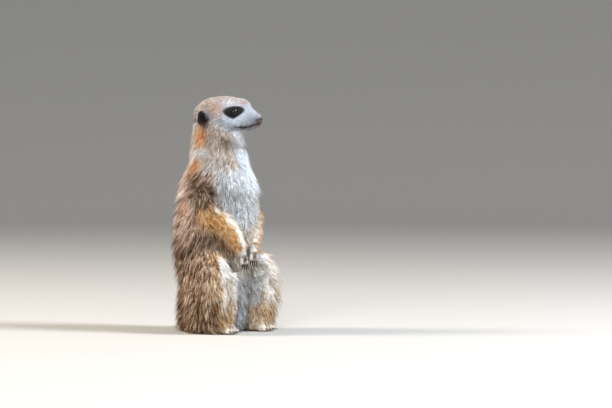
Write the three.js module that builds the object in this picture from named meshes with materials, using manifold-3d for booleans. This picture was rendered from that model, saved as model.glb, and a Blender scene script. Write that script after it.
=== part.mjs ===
// A meerkat sitting upright, life size, as a still museum model.
// Millimetres, +Z up. The animal faces -Y and its left side is +X. The origin is the middle of the flat
// that it sits on. Each solid reaches out to the tips of the coat.

import * as THREE from "three";
import { mergeVertices } from "three/addons/utils/BufferGeometryUtils.js";
import Module from "manifold-3d";

const wasm = await Module();
wasm.setup();

// ---- Driving dimensions -------------------------------------------------------------------------

const GAP = 0.35; // clear space between neighbouring solids
const LEFT = 1;
const RIGHT = -1;

// Trunk and neck, as level slices from the seat up: the slice's middle along Y, its half width and its
// reach to the front and back of that middle.
const TORSO = [
  { height: -9, middle: 6, half_width: 0, front: 0, back: 0 },
  { height: -3, middle: 6, half_width: 36, front: 28, back: 35 },
  { height: 12, middle: 6, half_width: 44, front: 38, back: 43 },
  { height: 34, middle: 6, half_width: 44.5, front: 41, back: 43.5 },
  { height: 58, middle: 6, half_width: 46, front: 43, back: 44 },
  { height: 82, middle: 6, half_width: 49.5, front: 45, back: 47.5 },
  { height: 106, middle: 5, half_width: 51.5, front: 45, back: 51 },
  { height: 130, middle: 3.5, half_width: 49.5, front: 46, back: 51 },
  { height: 154, middle: 1, half_width: 46, front: 48, back: 50.5 },
  { height: 176, middle: -1, half_width: 42.5, front: 47.5, back: 49 },
  { height: 196, middle: -1, half_width: 36.5, front: 42, back: 41.5 },
  { height: 214, middle: -1, half_width: 31.5, front: 36.5, back: 36.5 },
  { height: 232, middle: 1, half_width: 29.5, front: 33.5, back: 33 },
  { height: 248, middle: 4, half_width: 27, front: 27, back: 29 },
  { height: 262, middle: 7, half_width: 18, front: 16, back: 18 },
  { height: 268, middle: 7, half_width: 0, front: 0, back: 0 },
];
const NECK_CUT_HEIGHT = 203; // where the neck meets the shoulders
const NECK_CUT_LEAN = 0.16; // rise of that cut towards the back

// Head, in its own frame: forward along the nose, side to its left, up. Slices from the nape to the nose.
const HEAD_CENTRE = new THREE.Vector3(9, -5.5, 258);
const HEAD_TURN = THREE.MathUtils.degToRad(26); // turned to the animal's left
const HEAD = [
  { forward: -41, half_width: 0, top: 0, bottom: 0 },
  { forward: -38.5, half_width: 12, top: 9, bottom: -13 },
  { forward: -32, half_width: 19.5, top: 15.6, bottom: -21 },
  { forward: -22, half_width: 25, top: 21.4, bottom: -26 },
  { forward: -10, half_width: 27.2, top: 24.3, bottom: -28 },
  { forward: 2, half_width: 27, top: 24.4, bottom: -28.6 },
  { forward: 12, half_width: 24.2, top: 22.6, bottom: -28.3 },
  { forward: 19, half_width: 20, top: 19.8, bottom: -27.2 },
  { forward: 23.6, half_width: 16.4, top: 14.8, bottom: -25.6 },
  { forward: 27.4, half_width: 13.6, top: 9.2, bottom: -23.4 },
  { forward: 33, half_width: 10.8, top: 4.4, bottom: -19 },
  { forward: 38, half_width: 8.2, top: 0.6, bottom: -14 },
  { forward: 40.8, half_width: 5.6, top: -1.6, bottom: -10.6 },
  { forward: 42, half_width: 0, top: -5.6, bottom: -5.6 },
];
// Swellings of the head's surface: how far forward and, in radians up from the side, how high round the
// slice each one sits, its reach both ways and its height.
const SWELLINGS = {
  brow: { forward: 20, round: 0.92, reach: 5.5, spread: 0.34, height: 3 },
  cheek: { forward: 3, round: -0.62, reach: 13, spread: 0.5, height: 2.2 },
  lip: { forward: 33, round: -0.3, reach: 6, spread: 0.5, height: 1 },
};
const MOUTH_HEIGHT = -12.8; // of the lip line, in the head's frame
const MOUTH_CORNER = 13.5; // how far forward the lip line starts
const EYE = { forward: 13, side: 18.6, up: 5, radius: 5.3 };
const NOSE = { forward: 39.2, side: 0, up: -5.6, radii: [3.9, 4.6, 3.9] };
const EAR = { forward: -23.6, side: 23.6, up: -3.8, radii: [7.2, 5.2, 10.6], lean: 0.24 };
const EAR_BOWL = { outward: 6.4, ahead: 1.2, shrink: 0.8 };

// Forelegs as rounded limbs: places along each with the half thickness there.
const SHOULDER = { x: 32, y: -9, z: 167, r: 18.5 };
const ELBOWS = { [LEFT]: { x: 40, y: -17, z: 138, r: 12 }, [RIGHT]: { x: -39, y: -20, z: 139, r: 13.5 } };
const FOREARMS = { [LEFT]: { x: 27, y: -33, z: 120, r: 9 }, [RIGHT]: { x: -29, y: -38, z: 126.5, r: 12 } };
const WRISTS = { [LEFT]: { x: 11, y: -45.5, z: 103, r: 6.2 }, [RIGHT]: { x: -15, y: -47, z: 101, r: 7 } };
const KNUCKLES = { [LEFT]: { x: 9, y: -46.5, z: 93 }, [RIGHT]: { x: -11, y: -48.5, z: 89.5 } };
const PALM = { half_width: 5.6, half_depth: 4.2 };
const FINGER = { length: 8.5, radius: 2.2, spread: 0.12 };
const FINGER_CLAW = { length: 8.5, radius: 1.15, hook: 0.7 };

// Hindquarters: the haunch with the folded thigh, as level slices from the floor up, for the left side.
// Each slice is an ellipse whose long axis points forward and splays outward.
const HAUNCH = [
  { height: -8, x: 31, y: -8, length: 0, breadth: 0 },
  { height: 0, x: 32, y: -9, length: 29, breadth: 19 },
  { height: 16, x: 34, y: -12, length: 34, breadth: 22 },
  { height: 36, x: 35, y: -13, length: 38.5, breadth: 23 },
  { height: 58, x: 35, y: -14, length: 40.5, breadth: 23.5 },
  { height: 77, x: 35, y: -14, length: 40, breadth: 23 },
  { height: 94, x: 34, y: -11, length: 33, breadth: 21 },
  { height: 105, x: 32, y: -6, length: 22, breadth: 17 },
  { height: 111, x: 30, y: -2, length: 0, breadth: 0 },
];
const THIGH_SPLAY = THREE.MathUtils.degToRad(24);
const SHIN = [
  { x: 30, y: -37, z: 66, r: 13 },
  { x: 30, y: -38, z: 40, r: 13.5 },
  { x: 30.5, y: -34, z: 14, r: 12.5 },
];
const SHANK_CUT = { reach: 4, turn: THREE.MathUtils.degToRad(50), top: 73 }; // where the shank parts
const FOOT = [
  { x: 29, y: -12, z: 6.5, r: 8.5 },
  { x: 30.5, y: -30, z: 9, r: 11 },
  { x: 32, y: -43, z: 6.2, r: 9.6 },
];
const FOOT_FLATTEN = 0.82; // foot height over foot width
const TOE = { length: 9, radius: 4.1, spread: 0.14 };
const TOE_CLAW = { length: 6, radius: 1.2, hook: 0.6 };
const DIGITS = 4;
const FLOOR_BITE = 0.8; // how much is planed off the underside of a toe to make its flat

const TAIL = [
  { x: 0, y: 30, z: 24, r: 15 },
  { x: 4, y: 46, z: 16, r: 13.5 },
  { x: 14, y: 61, z: 10.4, r: 11.2 },
  { x: 33, y: 75, z: 8.4, r: 9.2 },
  { x: 60, y: 82, z: 7.3, r: 8.1 },
  { x: 87, y: 80, z: 6.5, r: 7.3 },
  { x: 109, y: 67, z: 5.8, r: 6.6 },
  { x: 120, y: 49, z: 5.2, r: 6 },
  { x: 121, y: 34, z: 4.4, r: 5.2 },
];
// Names of the tail's lengths, and the place where each one ends, counted in TAIL's steps.
const TAIL_PARTS = { tail_base: 3.35, tail_middle: 5.6, tail_tip: TAIL.length - 1 };

const COLOURS = {
  back: 0x9c7652,
  pale: 0xd9cfc0,
  face: 0xcfc8c0,
  dark: 0x2b2320,
  claw: 0x3a302b,
  nose: 0x4a342e,
  buff: 0xb98f5c,
};

// ---- Curves and solids --------------------------------------------------------------------------

const ACROSS = new THREE.Vector3(1, 0, 0);
const UP = new THREE.Vector3(0, 0, 1);
const DOWN = new THREE.Vector3(0, 0, -1);
const BACK = new THREE.Vector3(0, 1, 0);

// The value of one measure at place t, from 0 to 1, along a list of evenly counted stations.
function measure(stations, key, t) {
  const at = t * (stations.length - 1);
  const i = Math.min(Math.floor(at), stations.length - 2);
  const value = (n) => stations[THREE.MathUtils.clamp(n, 0, stations.length - 1)][key];
  const [a, b, c, d] = [value(i - 1), value(i), value(i + 1), value(i + 2)];
  const u = at - i;
  return b + 0.5 * u * (c - a + u * (2 * a - 5 * b + 4 * c - d + u * (3 * (b - c) + d - a)));
}

// A closed three.js geometry as a manifold solid, whichever way round its faces came.
function solid(geometry) {
  const bare = new THREE.BufferGeometry();
  bare.setAttribute("position", geometry.getAttribute("position"));
  bare.setIndex(geometry.getIndex());
  const merged = mergeVertices(bare, 1e-3);
  const place = merged.getAttribute("position");
  const corners = merged.getIndex().array;
  const triangles = [];
  let volume = 0;
  for (let i = 0; i < corners.length; i += 3) {
    const [p, q, r] = corners.slice(i, i + 3);
    if (p === q || q === r || p === r) continue;
    triangles.push([p, q, r]);
    const [a, b, c] = [p, q, r].map((n) => new THREE.Vector3().fromBufferAttribute(place, n));
    volume += a.dot(b.cross(c));
  }
  const outward = volume > 0 ? triangles : triangles.map(([p, q, r]) => [p, r, q]);
  const mesh = new wasm.Mesh({
    numProp: 3,
    vertProperties: new Float32Array(place.array),
    triVerts: new Uint32Array(outward.flat()),
  });
  return new wasm.Manifold(mesh);
}

// A sphere geometry whose poles become the two ends: put(t, angle, end) gives the point at share t of
// the way from one end to the other and at that angle round; end is 0 at a pole and 1 elsewhere.
function spun(sides, rows, put) {
  const geometry = new THREE.SphereGeometry(1, sides, rows);
  const place = geometry.getAttribute("position");
  const uv = geometry.getAttribute("uv");
  for (let i = 0; i < place.count; i++) {
    const t = 1 - uv.getY(i);
    const end = Math.sin(Math.PI * t) > 1e-6 ? 1 : 0;
    const p = put(t, 2 * Math.PI * ((end * uv.getX(i)) % 1), end);
    place.setXYZ(i, p.x, p.y, p.z);
  }
  return solid(geometry);
}

function ellipsoid(centre, radii, grow, turn, sides, rows) {
  const geometry = new THREE.SphereGeometry(1, sides, rows);
  geometry.scale(...radii.map((r) => r + grow));
  geometry.applyMatrix4(turn);
  geometry.translate(centre.x, centre.y, centre.z);
  return solid(geometry);
}

// A limb with rounded ends, along stations of x, y, z and half thickness r. Its slices are round, or
// thinner than they are wide by the factor flatten, with their width along the axis wide.
function limb(stations, grow, { sides = 10, rows = 4, caps = 2, flatten = 1, wide = ACROSS } = {}) {
  const geometry = new THREE.CapsuleGeometry(1, 2, caps, sides, rows);
  const place = geometry.getAttribute("position");
  const [x, y, z, r] = ["x", "y", "z", "r"].map((key) => (t) => measure(stations, key, t));
  const point = (t) => new THREE.Vector3(x(t), y(t), z(t));
  for (let i = 0; i < place.count; i++) {
    const height = place.getY(i);
    const t = THREE.MathUtils.clamp((height + 1) / 2, 0, 1);
    const past = height > 1 ? height - 1 : Math.min(height + 1, 0);
    const along = point(Math.min(t + 0.01, 1)).sub(point(Math.max(t - 0.01, 0))).normalize();
    const side = wide.clone().addScaledVector(along, -wide.dot(along)).normalize();
    const over = new THREE.Vector3().crossVectors(along, side);
    const radius = r(t) + grow;
    const p = point(t)
      .addScaledVector(along, past * radius)
      .addScaledVector(side, place.getX(i) * radius)
      .addScaledVector(over, place.getZ(i) * radius * flatten);
    place.setXYZ(i, p.x, p.y, p.z);
  }
  return solid(geometry);
}

const joined = (...solids) => solids.reduce((all, one) => all.add(one));
const without = (whole, ...cutters) => cutters.reduce((rest, one) => rest.subtract(one), whole);

// The largest body of a cut solid, which drops the slivers that a cut can leave.
const main_body = (cut) =>
  cut.decompose().reduce((most, one) => (one.volume() > most.volume() ? one : most));

// The share of a solid on the side of a plane that its normal points to, half a gap away from it.
const beyond = (whole, normal, through) =>
  whole.trimByPlane(normal.toArray(), normal.dot(through) + GAP / 2);

const above_floor = (whole) => whole.trimByPlane(UP.toArray(), 0);
const vector = (place) => new THREE.Vector3(place.x, place.y, place.z);
const mirrored = (place, hand) => ({ ...place, x: hand * place.x });

// ---- The head's own frame -----------------------------------------------------------------------

const head_matrix = new THREE.Matrix4()
  .makeRotationZ(HEAD_TURN - Math.PI / 2)
  .setPosition(HEAD_CENTRE);
const head_turn = new THREE.Matrix4().extractRotation(head_matrix);
const in_head = (forward, side, up) => new THREE.Vector3(forward, side, up).applyMatrix4(head_matrix);
const head_direction = (forward, side, up) =>
  new THREE.Vector3(forward, side, up).applyMatrix4(head_turn).normalize();

// ---- Body parts, each as a function of how far its surface is grown -----------------------------

const torso = (grow) =>
  spun(18, 17, (t, angle, end) => {
    const across = Math.cos(angle) * end;
    const along = Math.sin(angle) * end;
    const reach = measure(TORSO, along < 0 ? "front" : "back", t) + grow;
    const half_width = measure(TORSO, "half_width", t) + grow;
    const y = measure(TORSO, "middle", t) + along * reach;
    return new THREE.Vector3(across * half_width, y, measure(TORSO, "height", t));
  });

function swelling(forward, angle) {
  const round = Math.asin(Math.sin(angle)); // alike on both sides of the head
  return Object.values(SWELLINGS).reduce((sum, one) => {
    const off = ((forward - one.forward) / one.reach) ** 2 + ((round - one.round) / one.spread) ** 2;
    return sum + one.height * Math.exp(-off);
  }, 0);
}

const whole_head = (grow) =>
  spun(20, 20, (t, angle, end) => {
    const forward = measure(HEAD, "forward", t);
    const more = grow + swelling(forward, angle);
    const [top, bottom] = [measure(HEAD, "top", t), measure(HEAD, "bottom", t)];
    const side = Math.cos(angle) * (measure(HEAD, "half_width", t) + more) * end;
    const up = (top + bottom) / 2 + Math.sin(angle) * ((top - bottom) / 2 + more) * end;
    const past_end = end ? 0 : Math.sign(t - 0.5) * grow;
    return in_head(forward + past_end, side, up);
  });

const eyeball = (hand, grow) =>
  ellipsoid(in_head(EYE.forward, hand * EYE.side, EYE.up), Array(3).fill(EYE.radius), grow, head_turn, 10, 7);

const nose_pad = (grow) =>
  ellipsoid(in_head(NOSE.forward, NOSE.side, NOSE.up), NOSE.radii, grow, head_turn, 8, 6);

// The ear is a disc whose top leans back; a bowl hollows its outer face.
const ear_turn = head_turn.clone().multiply(new THREE.Matrix4().makeRotationY(-EAR.lean));
const ear_disc = (hand, grow) =>
  ellipsoid(in_head(EAR.forward, hand * EAR.side, EAR.up), EAR.radii, grow, ear_turn, 10, 6);
const ear_bowl = (hand) => {
  const centre = in_head(EAR.forward + EAR_BOWL.ahead, hand * (EAR.side + EAR_BOWL.outward), EAR.up);
  return ellipsoid(centre, EAR.radii.map((r) => r * EAR_BOWL.shrink), 0, ear_turn, 10, 6);
};

// Foreleg: shoulder to elbow, elbow to wrist, and the palm.
const upper_arm = (hand, grow) => limb([mirrored(SHOULDER, hand), ELBOWS[hand]], grow, { rows: 1, caps: 3 });
const forearm = (hand, grow) => limb([ELBOWS[hand], FOREARMS[hand], WRISTS[hand]], grow, { rows: 3 });
const palm = (hand, grow) => {
  const [wrist, knuckles] = [WRISTS[hand], KNUCKLES[hand]];
  const stations = [
    { ...wrist, r: wrist.r - 0.4 },
    { ...knuckles, r: PALM.half_width },
  ];
  return limb(stations, grow, { sides: 8, rows: 1, flatten: PALM.half_depth / PALM.half_width });
};

// Places of a paw's digits: an even fan from its front edge, each with a start, an end and a heading.
function digit_fan(root, heading, size, half_width) {
  return Array.from({ length: DIGITS }, (_, i) => {
    const share = (2 * i) / (DIGITS - 1) - 1; // -1 at one edge of the paw, 1 at the other
    const direction = heading.clone().addScaledVector(ACROSS, share * size.spread).normalize();
    const start = root.clone().addScaledVector(ACROSS, share * (half_width - size.radius * 0.75));
    const length = size.length * (1 - 0.12 * Math.abs(share)); // the outer digits are shorter
    return { start, direction, end: start.clone().addScaledVector(direction, length) };
  });
}

const finger_fan = (hand) => {
  const heading = new THREE.Vector3(-0.12 * hand, -0.12, -1).normalize();
  return digit_fan(vector(KNUCKLES[hand]), heading, FINGER, PALM.half_width);
};
const toe_fan = (hand) => {
  const ball = mirrored(FOOT.at(-1), hand);
  const root = new THREE.Vector3(ball.x, ball.y, TOE.radius - FLOOR_BITE);
  const heading = new THREE.Vector3(0.1 * hand, -1, 0).normalize();
  return digit_fan(root, heading, TOE, ball.r);
};

const digit = ({ start, end }, radius, grow) =>
  limb([{ ...start, r: radius }, { ...end, r: radius * 0.82 }], grow, { sides: 5, rows: 1, caps: 1 });

// A claw grows from the digit's tip and hooks towards the pad side.
function claw({ direction, end }, size, pad_side, grow) {
  const at = (share, drop) =>
    end.clone().addScaledVector(direction, size.length * share).addScaledVector(pad_side, size.length * drop);
  const stations = [
    { ...at(0, 0), r: size.radius },
    { ...at(0.55, 0.1 * size.hook), r: size.radius * 0.75 },
    { ...at(1, 0.34 * size.hook), r: size.radius * 0.3 },
  ];
  return limb(stations, grow, { sides: 4, rows: 2, caps: 1 });
}
const fingers = (hand) => finger_fan(hand).map((one) => digit(one, FINGER.radius, 0));
const toes = (hand, grow) => toe_fan(hand).map((one) => digit(one, TOE.radius, grow));
const finger_claws = (hand, grow) => finger_fan(hand).map((one) => claw(one, FINGER_CLAW, BACK, grow));
const toe_claws = (hand, grow) => toe_fan(hand).map((one) => claw(one, TOE_CLAW, DOWN, grow));

// Hind leg: haunch with the folded thigh, the shin in front of it and the foot.
const haunch = (hand, grow) =>
  spun(14, 11, (t, angle, end) => {
    const length = (measure(HAUNCH, "length", t) + grow) * Math.sin(angle) * end;
    const breadth = (measure(HAUNCH, "breadth", t) + grow) * Math.cos(angle) * end;
    const [sin, cos] = [Math.sin(THIGH_SPLAY), Math.cos(THIGH_SPLAY)];
    const x = measure(HAUNCH, "x", t) + length * sin + breadth * cos;
    const y = measure(HAUNCH, "y", t) - length * cos + breadth * sin;
    return new THREE.Vector3(hand * x, y, measure(HAUNCH, "height", t));
  });
const shin = (hand, grow) => limb(SHIN.map((one) => mirrored(one, hand)), grow, { rows: 3 });
const foot = (hand, grow) =>
  limb(FOOT.map((one) => mirrored(one, hand)), grow, { sides: 8, rows: 3, flatten: FOOT_FLATTEN });

const tail = (grow) => limb(TAIL, grow, { sides: 8, rows: TAIL.length + 3, wide: UP });

// ---- Parting the animal -------------------------------------------------------------------------

const parts = new Map();
const keep = (name, whole, colour) => parts.set(name, { whole: main_body(whole), colour });
const hands = { left: LEFT, right: RIGHT };
const both = Object.values(hands);

// Forelegs, cut across the elbow and the wrist.
for (const [side, hand] of Object.entries(hands)) {
  const [shoulder, elbow, wrist] = [mirrored(SHOULDER, hand), ELBOWS[hand], WRISTS[hand]].map(vector);
  const up = shoulder.sub(elbow).normalize();
  const down = wrist.clone().sub(elbow).normalize();
  const bend = up.sub(down).normalize();
  const arm = joined(upper_arm(hand, 0), forearm(hand, 0));
  const below_elbow = beyond(arm, bend.clone().negate(), elbow);
  const whole_hand = beyond(joined(palm(hand, 0), ...fingers(hand)), down, wrist);
  keep(`upper_arm_${side}`, beyond(arm, bend, elbow), COLOURS.back);
  keep(`forearm_${side}`, beyond(below_elbow, down.clone().negate(), wrist), COLOURS.buff);
  keep(`hand_${side}`, without(whole_hand, ...finger_claws(hand, GAP)), COLOURS.pale);
  finger_claws(hand, 0).forEach((one, i) => keep(`hand_claw_${side}_${i + 1}`, one, COLOURS.claw));
}

// Hind legs: the shank is the front and inner side of the leg below the knee.
for (const [side, hand] of Object.entries(hands)) {
  const foot_room = [foot(hand, GAP), ...toes(hand, GAP)];
  const whole_foot = joined(foot(hand, 0), ...toes(hand, 0));
  const midline = new THREE.Vector3(hand, 0, 0);
  const outside = beyond(joined(haunch(hand, 0), shin(hand, 0)), midline, new THREE.Vector3());
  const leg = without(above_floor(outside), ...foot_room);
  const inward = new THREE.Vector3(-hand * Math.sin(SHANK_CUT.turn), -Math.cos(SHANK_CUT.turn), 0);
  const seam = inward.clone().setLength(SHANK_CUT.reach);
  const knee = new THREE.Vector3(0, 0, SHANK_CUT.top);
  const above_knee = beyond(leg, UP, knee);
  const behind_seam = beyond(leg, inward.clone().negate(), seam);
  keep(`thigh_${side}`, joined(above_knee, behind_seam), COLOURS.back);
  keep(`shank_${side}`, beyond(beyond(leg, DOWN, knee), inward, seam), COLOURS.pale);
  keep(`foot_${side}`, without(above_floor(whole_foot), ...toe_claws(hand, GAP)), COLOURS.buff);
  toe_claws(hand, 0).forEach((one, i) => keep(`foot_claw_${side}_${i + 1}`, above_floor(one), COLOURS.claw));
}

// Eyes, ears and nose, then the head and jaw round them.
for (const [side, hand] of Object.entries(hands)) {
  keep(`eye_${side}`, eyeball(hand, 0), COLOURS.dark);
  keep(`ear_${side}`, without(ear_disc(hand, 0), ear_bowl(hand)), COLOURS.dark);
}
keep("nose", nose_pad(0), COLOURS.nose);
const face_room = both.flatMap((hand) => [eyeball(hand, GAP), ear_disc(hand, GAP)]);
const head = without(whole_head(0), ...face_room, nose_pad(GAP));
const lip = in_head(MOUTH_CORNER, 0, MOUTH_HEIGHT);
const [above_lip, below_lip] = [head_direction(0, 0, 1), head_direction(0, 0, -1)];
const before_corner = head_direction(1, 0, -0.25);
keep("lower_jaw", beyond(beyond(head, below_lip, lip), before_corner, lip), COLOURS.pale);
const behind_corner = beyond(head, before_corner.clone().negate(), lip);
keep("head", joined(beyond(head, above_lip, lip), behind_corner), COLOURS.face);

// Trunk and neck fill what is left, parted at the shoulders.
const legs_room = both.flatMap((hand) =>
  [upper_arm, forearm, haunch, shin, foot].map((body_part) => body_part(hand, GAP)),
);
const head_room = [whole_head(GAP), ...both.map((hand) => ear_disc(hand, GAP))];
const core = without(above_floor(torso(0)), ...legs_room, ...head_room, tail(GAP));
const neck_line = new THREE.Vector3(0, -NECK_CUT_LEAN, 1).normalize();
const neck_root = new THREE.Vector3(0, 0, NECK_CUT_HEIGHT);
keep("neck", beyond(core, neck_line, neck_root), COLOURS.pale);
keep("trunk", beyond(core, neck_line.clone().negate(), neck_root), COLOURS.back);

// The tail, clear of the haunches and cut square across its own line.
const tail_line = new THREE.CatmullRomCurve3(TAIL.map(vector));
let rest = without(above_floor(tail(0)), ...both.map((hand) => haunch(hand, GAP)));
for (const [name, end] of Object.entries(TAIL_PARTS)) {
  const share = end / (TAIL.length - 1);
  const last = share === 1;
  const onward = tail_line.getTangent(share);
  const cut = tail_line.getPoint(share);
  keep(name, last ? rest : beyond(rest, onward.clone().negate(), cut), last ? COLOURS.dark : COLOURS.buff);
  rest = beyond(rest, onward, cut);
}

// ---- The scene graph ----------------------------------------------------------------------------

const meerkat = new THREE.Group();
for (const [name, { whole, colour }] of parts) {
  const found = whole.getMesh();
  const geometry = new THREE.BufferGeometry();
  geometry.setAttribute("position", new THREE.BufferAttribute(found.vertProperties, 3));
  geometry.setIndex(new THREE.BufferAttribute(found.triVerts, 1));
  geometry.computeVertexNormals();
  const roughness = name.startsWith("eye") ? 0.1 : 0.85;
  const material = new THREE.MeshStandardMaterial({ color: colour, roughness, metalness: 0 });
  const mesh = new THREE.Mesh(geometry, material);
  mesh.name = name;
  meerkat.add(mesh);
}

export default meerkat;
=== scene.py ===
"""A meerkat sitting upright with its head turned to its left: skin, coat, eyes, nose, claws and whiskers.

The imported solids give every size. One skin stands in for all the nodes of flesh. It lies under them by the
depth of the coat, and thousands of tapered locks of hair grow from it. Points are in millimetres, +Z up,
the animal faces -Y and its left side is +X. Meshes are made in metres.
"""

import math

import bmesh
import bpy
import numpy as np
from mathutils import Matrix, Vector
from mathutils.bvhtree import BVHTree
from mathutils.kdtree import KDTree


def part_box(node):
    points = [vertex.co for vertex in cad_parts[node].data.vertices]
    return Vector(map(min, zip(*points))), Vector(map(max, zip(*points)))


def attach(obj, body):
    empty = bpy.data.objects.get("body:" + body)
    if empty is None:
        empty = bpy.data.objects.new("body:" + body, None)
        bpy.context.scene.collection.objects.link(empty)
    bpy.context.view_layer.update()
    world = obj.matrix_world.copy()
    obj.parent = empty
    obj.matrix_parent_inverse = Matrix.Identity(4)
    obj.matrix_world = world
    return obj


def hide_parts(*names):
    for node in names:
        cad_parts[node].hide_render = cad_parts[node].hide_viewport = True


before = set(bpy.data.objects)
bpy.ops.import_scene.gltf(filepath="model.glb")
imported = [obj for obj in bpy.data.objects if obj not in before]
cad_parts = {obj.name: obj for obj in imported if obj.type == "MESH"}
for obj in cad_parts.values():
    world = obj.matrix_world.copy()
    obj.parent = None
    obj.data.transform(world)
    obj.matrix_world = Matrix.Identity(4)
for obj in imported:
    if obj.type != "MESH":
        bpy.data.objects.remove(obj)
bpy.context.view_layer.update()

MM = 0.001
UP = np.array([0.0, 0.0, 1.0])
FRONT = np.array([0.0, -1.0, 0.0])

# ---------------------------------------------------------------- meshes and materials

# Where a Mix node keeps its two colours and its result.
MIX_A = 6
MIX_B = 7
MIX_RESULT = 2


def linear(hex_colour):
    """An sRGB hex colour as linear red, green and blue, and a full alpha."""
    parts = [int(hex_colour[i:i + 2], 16) / 255 for i in (1, 3, 5)]
    return [c / 12.92 if c <= 0.04045 else ((c + 0.055) / 1.055) ** 2.4 for c in parts] + [1.0]


def add_node(material, kind, inputs=None, links=None, **settings):
    """Adds a node, sets its settings and input values, and links its inputs to other nodes' outputs."""
    node = material.node_tree.nodes.new(kind)
    for name, value in settings.items():
        setattr(node, name, value)
    for name, value in (inputs or {}).items():
        node.inputs[name].default_value = value
    for name, source in (links or {}).items():
        material.node_tree.links.new(source, node.inputs[name])
    return node


def new_material(name):
    material = bpy.data.materials.new(name)
    material.use_nodes = True
    material.node_tree.nodes.clear()
    return material


def finish_material(material, shader):
    add_node(material, "ShaderNodeOutputMaterial", None, {"Surface": shader.outputs[0]})
    return material


def shaded(material, colour, pattern, darkest, palest):
    """Darkens and lightens a colour along a pattern."""
    share = add_node(material, "ShaderNodeMapRange",
                     {"From Min": 0.3, "From Max": 0.7, "To Min": darkest, "To Max": palest},
                     {"Value": pattern})
    mixed = add_node(material, "ShaderNodeVectorMath", None,
                     {"Vector": colour, "Scale": share.outputs["Result"]}, operation="SCALE")
    return mixed.outputs["Vector"]


def put_in_scene(name, data):
    """An object that carries this mesh, lamp or camera."""
    made = bpy.data.objects.new(name, data)
    bpy.context.scene.collection.objects.link(made)
    return made


def shade_smooth(mesh):
    mesh.polygons.foreach_set("use_smooth", np.ones(len(mesh.polygons), bool))


def mesh_object(name, verts, faces, material=None):
    """A smooth mesh object of these points, in metres."""
    mesh = bpy.data.meshes.new(name)
    mesh.from_pydata([tuple(v) for v in verts], [], [tuple(f) for f in faces])
    mesh.update()
    shade_smooth(mesh)
    if material:
        mesh.materials.append(material)
    return put_in_scene(name, mesh)


def joined(name, pieces, material):
    """Several closed pieces as one, with every face turned outwards."""
    whole = bmesh.new()
    for piece in pieces:
        whole.from_mesh(piece.data)
        bpy.data.objects.remove(piece)
    bmesh.ops.recalc_face_normals(whole, faces=whole.faces)
    mesh = bpy.data.meshes.new(name)
    whole.to_mesh(mesh)
    whole.free()
    mesh.materials.append(material)
    return put_in_scene(name, mesh)


def loft(name, rings, material=None):
    """Rings of points joined into a skin, closed at both ends by a point."""
    sides = len(rings[0])
    verts = [point for ring in rings for point in ring]
    verts += [np.mean(rings[0], axis=0), np.mean(rings[-1], axis=0)]
    first_end = len(rings) * sides
    last = (len(rings) - 1) * sides
    faces = []
    for low in range(0, last, sides):
        for side in range(sides):
            across = (side + 1) % sides
            faces.append((low + side, low + across, low + sides + across, low + sides + side))
    for side in range(sides):
        across = (side + 1) % sides
        faces.append((first_end, across, side))
        faces.append((first_end + 1, last + side, last + across))
    return mesh_object(name, np.array(verts) * MM, faces, material)


# ---------------------------------------------------------------- camera, floor and light

VIEW_AZIMUTH = -50.0  # degrees round the animal from its front
VIEW_HEIGHT = 2.0  # degrees above the horizon
VIEW_DISTANCE = 4.0  # metres
FRAME_WIDE = 0.7344  # metres of the subject's plane that the frame takes in
AIM_RIGHT = 0.1044  # metres from the seat to the middle of the frame, to the right and up
AIM_UP = 0.1524
SENSOR = 36.0

FLOOR_RINGS = 40
FLOOR_SIDES = 96
FLOOR_FLAT = 3.2  # metres of flat floor before the sweep rises
FLOOR_EDGE = 7.0
FLOOR_RISE = 2.6

CHEST = (0, 0, 0.16)  # where the lights point, in metres
# Each light's place and width in metres, its watts and its colour.
STUDIO_LIGHTS = {
    "key": ((0.78, -2.12, 1.75), 0.9, 122, "#F1F6FF"),
    "fill": ((-2.4, -1.4, 1.2), 1.3, 60, "#FFFBF6"),
    "rim": ((-1.3, 1.7, 1.9), 0.8, 78, "#FFF2E2"),
}
SKY_COLOUR = "#E3E8EE"
SKY_STRENGTH = 0.42


def place_camera():
    """A long lens, level with the animal, that keeps it left of the middle of the frame."""
    azimuth = math.radians(VIEW_AZIMUTH)
    height = math.radians(VIEW_HEIGHT)
    back = Vector((math.sin(azimuth) * math.cos(height), -math.cos(azimuth) * math.cos(height),
                   math.sin(height)))
    right = Vector((math.cos(azimuth), math.sin(azimuth), 0))
    camera = put_in_scene("camera", bpy.data.cameras.new("camera"))
    camera.data.sensor_width = SENSOR
    camera.data.lens = SENSOR * VIEW_DISTANCE / FRAME_WIDE
    camera.data.clip_end = 50
    camera.location = right * AIM_RIGHT + back.cross(right) * AIM_UP + back * VIEW_DISTANCE
    camera.rotation_mode = "QUATERNION"
    camera.rotation_quaternion = back.to_track_quat("Z", "Y")
    bpy.context.scene.camera = camera


def floor_material():
    """Matt seamless paper, pale warm grey, with a faint mottle."""
    material = new_material("pale_paper")
    mottle = add_node(material, "ShaderNodeTexNoise", {"Scale": 3.0, "Detail": 3.0})
    colour = add_node(material, "ShaderNodeMix", {MIX_A: linear("#A9A7A3"), MIX_B: linear("#B0AEAA")},
                      {0: mottle.outputs["Fac"]}, data_type="RGBA")
    paper = add_node(material, "ShaderNodeBsdfPrincipled", {"Roughness": 0.85, "Specular IOR Level": 0.2},
                     {"Base Color": colour.outputs[MIX_RESULT]})
    return finish_material(material, paper)


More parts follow.
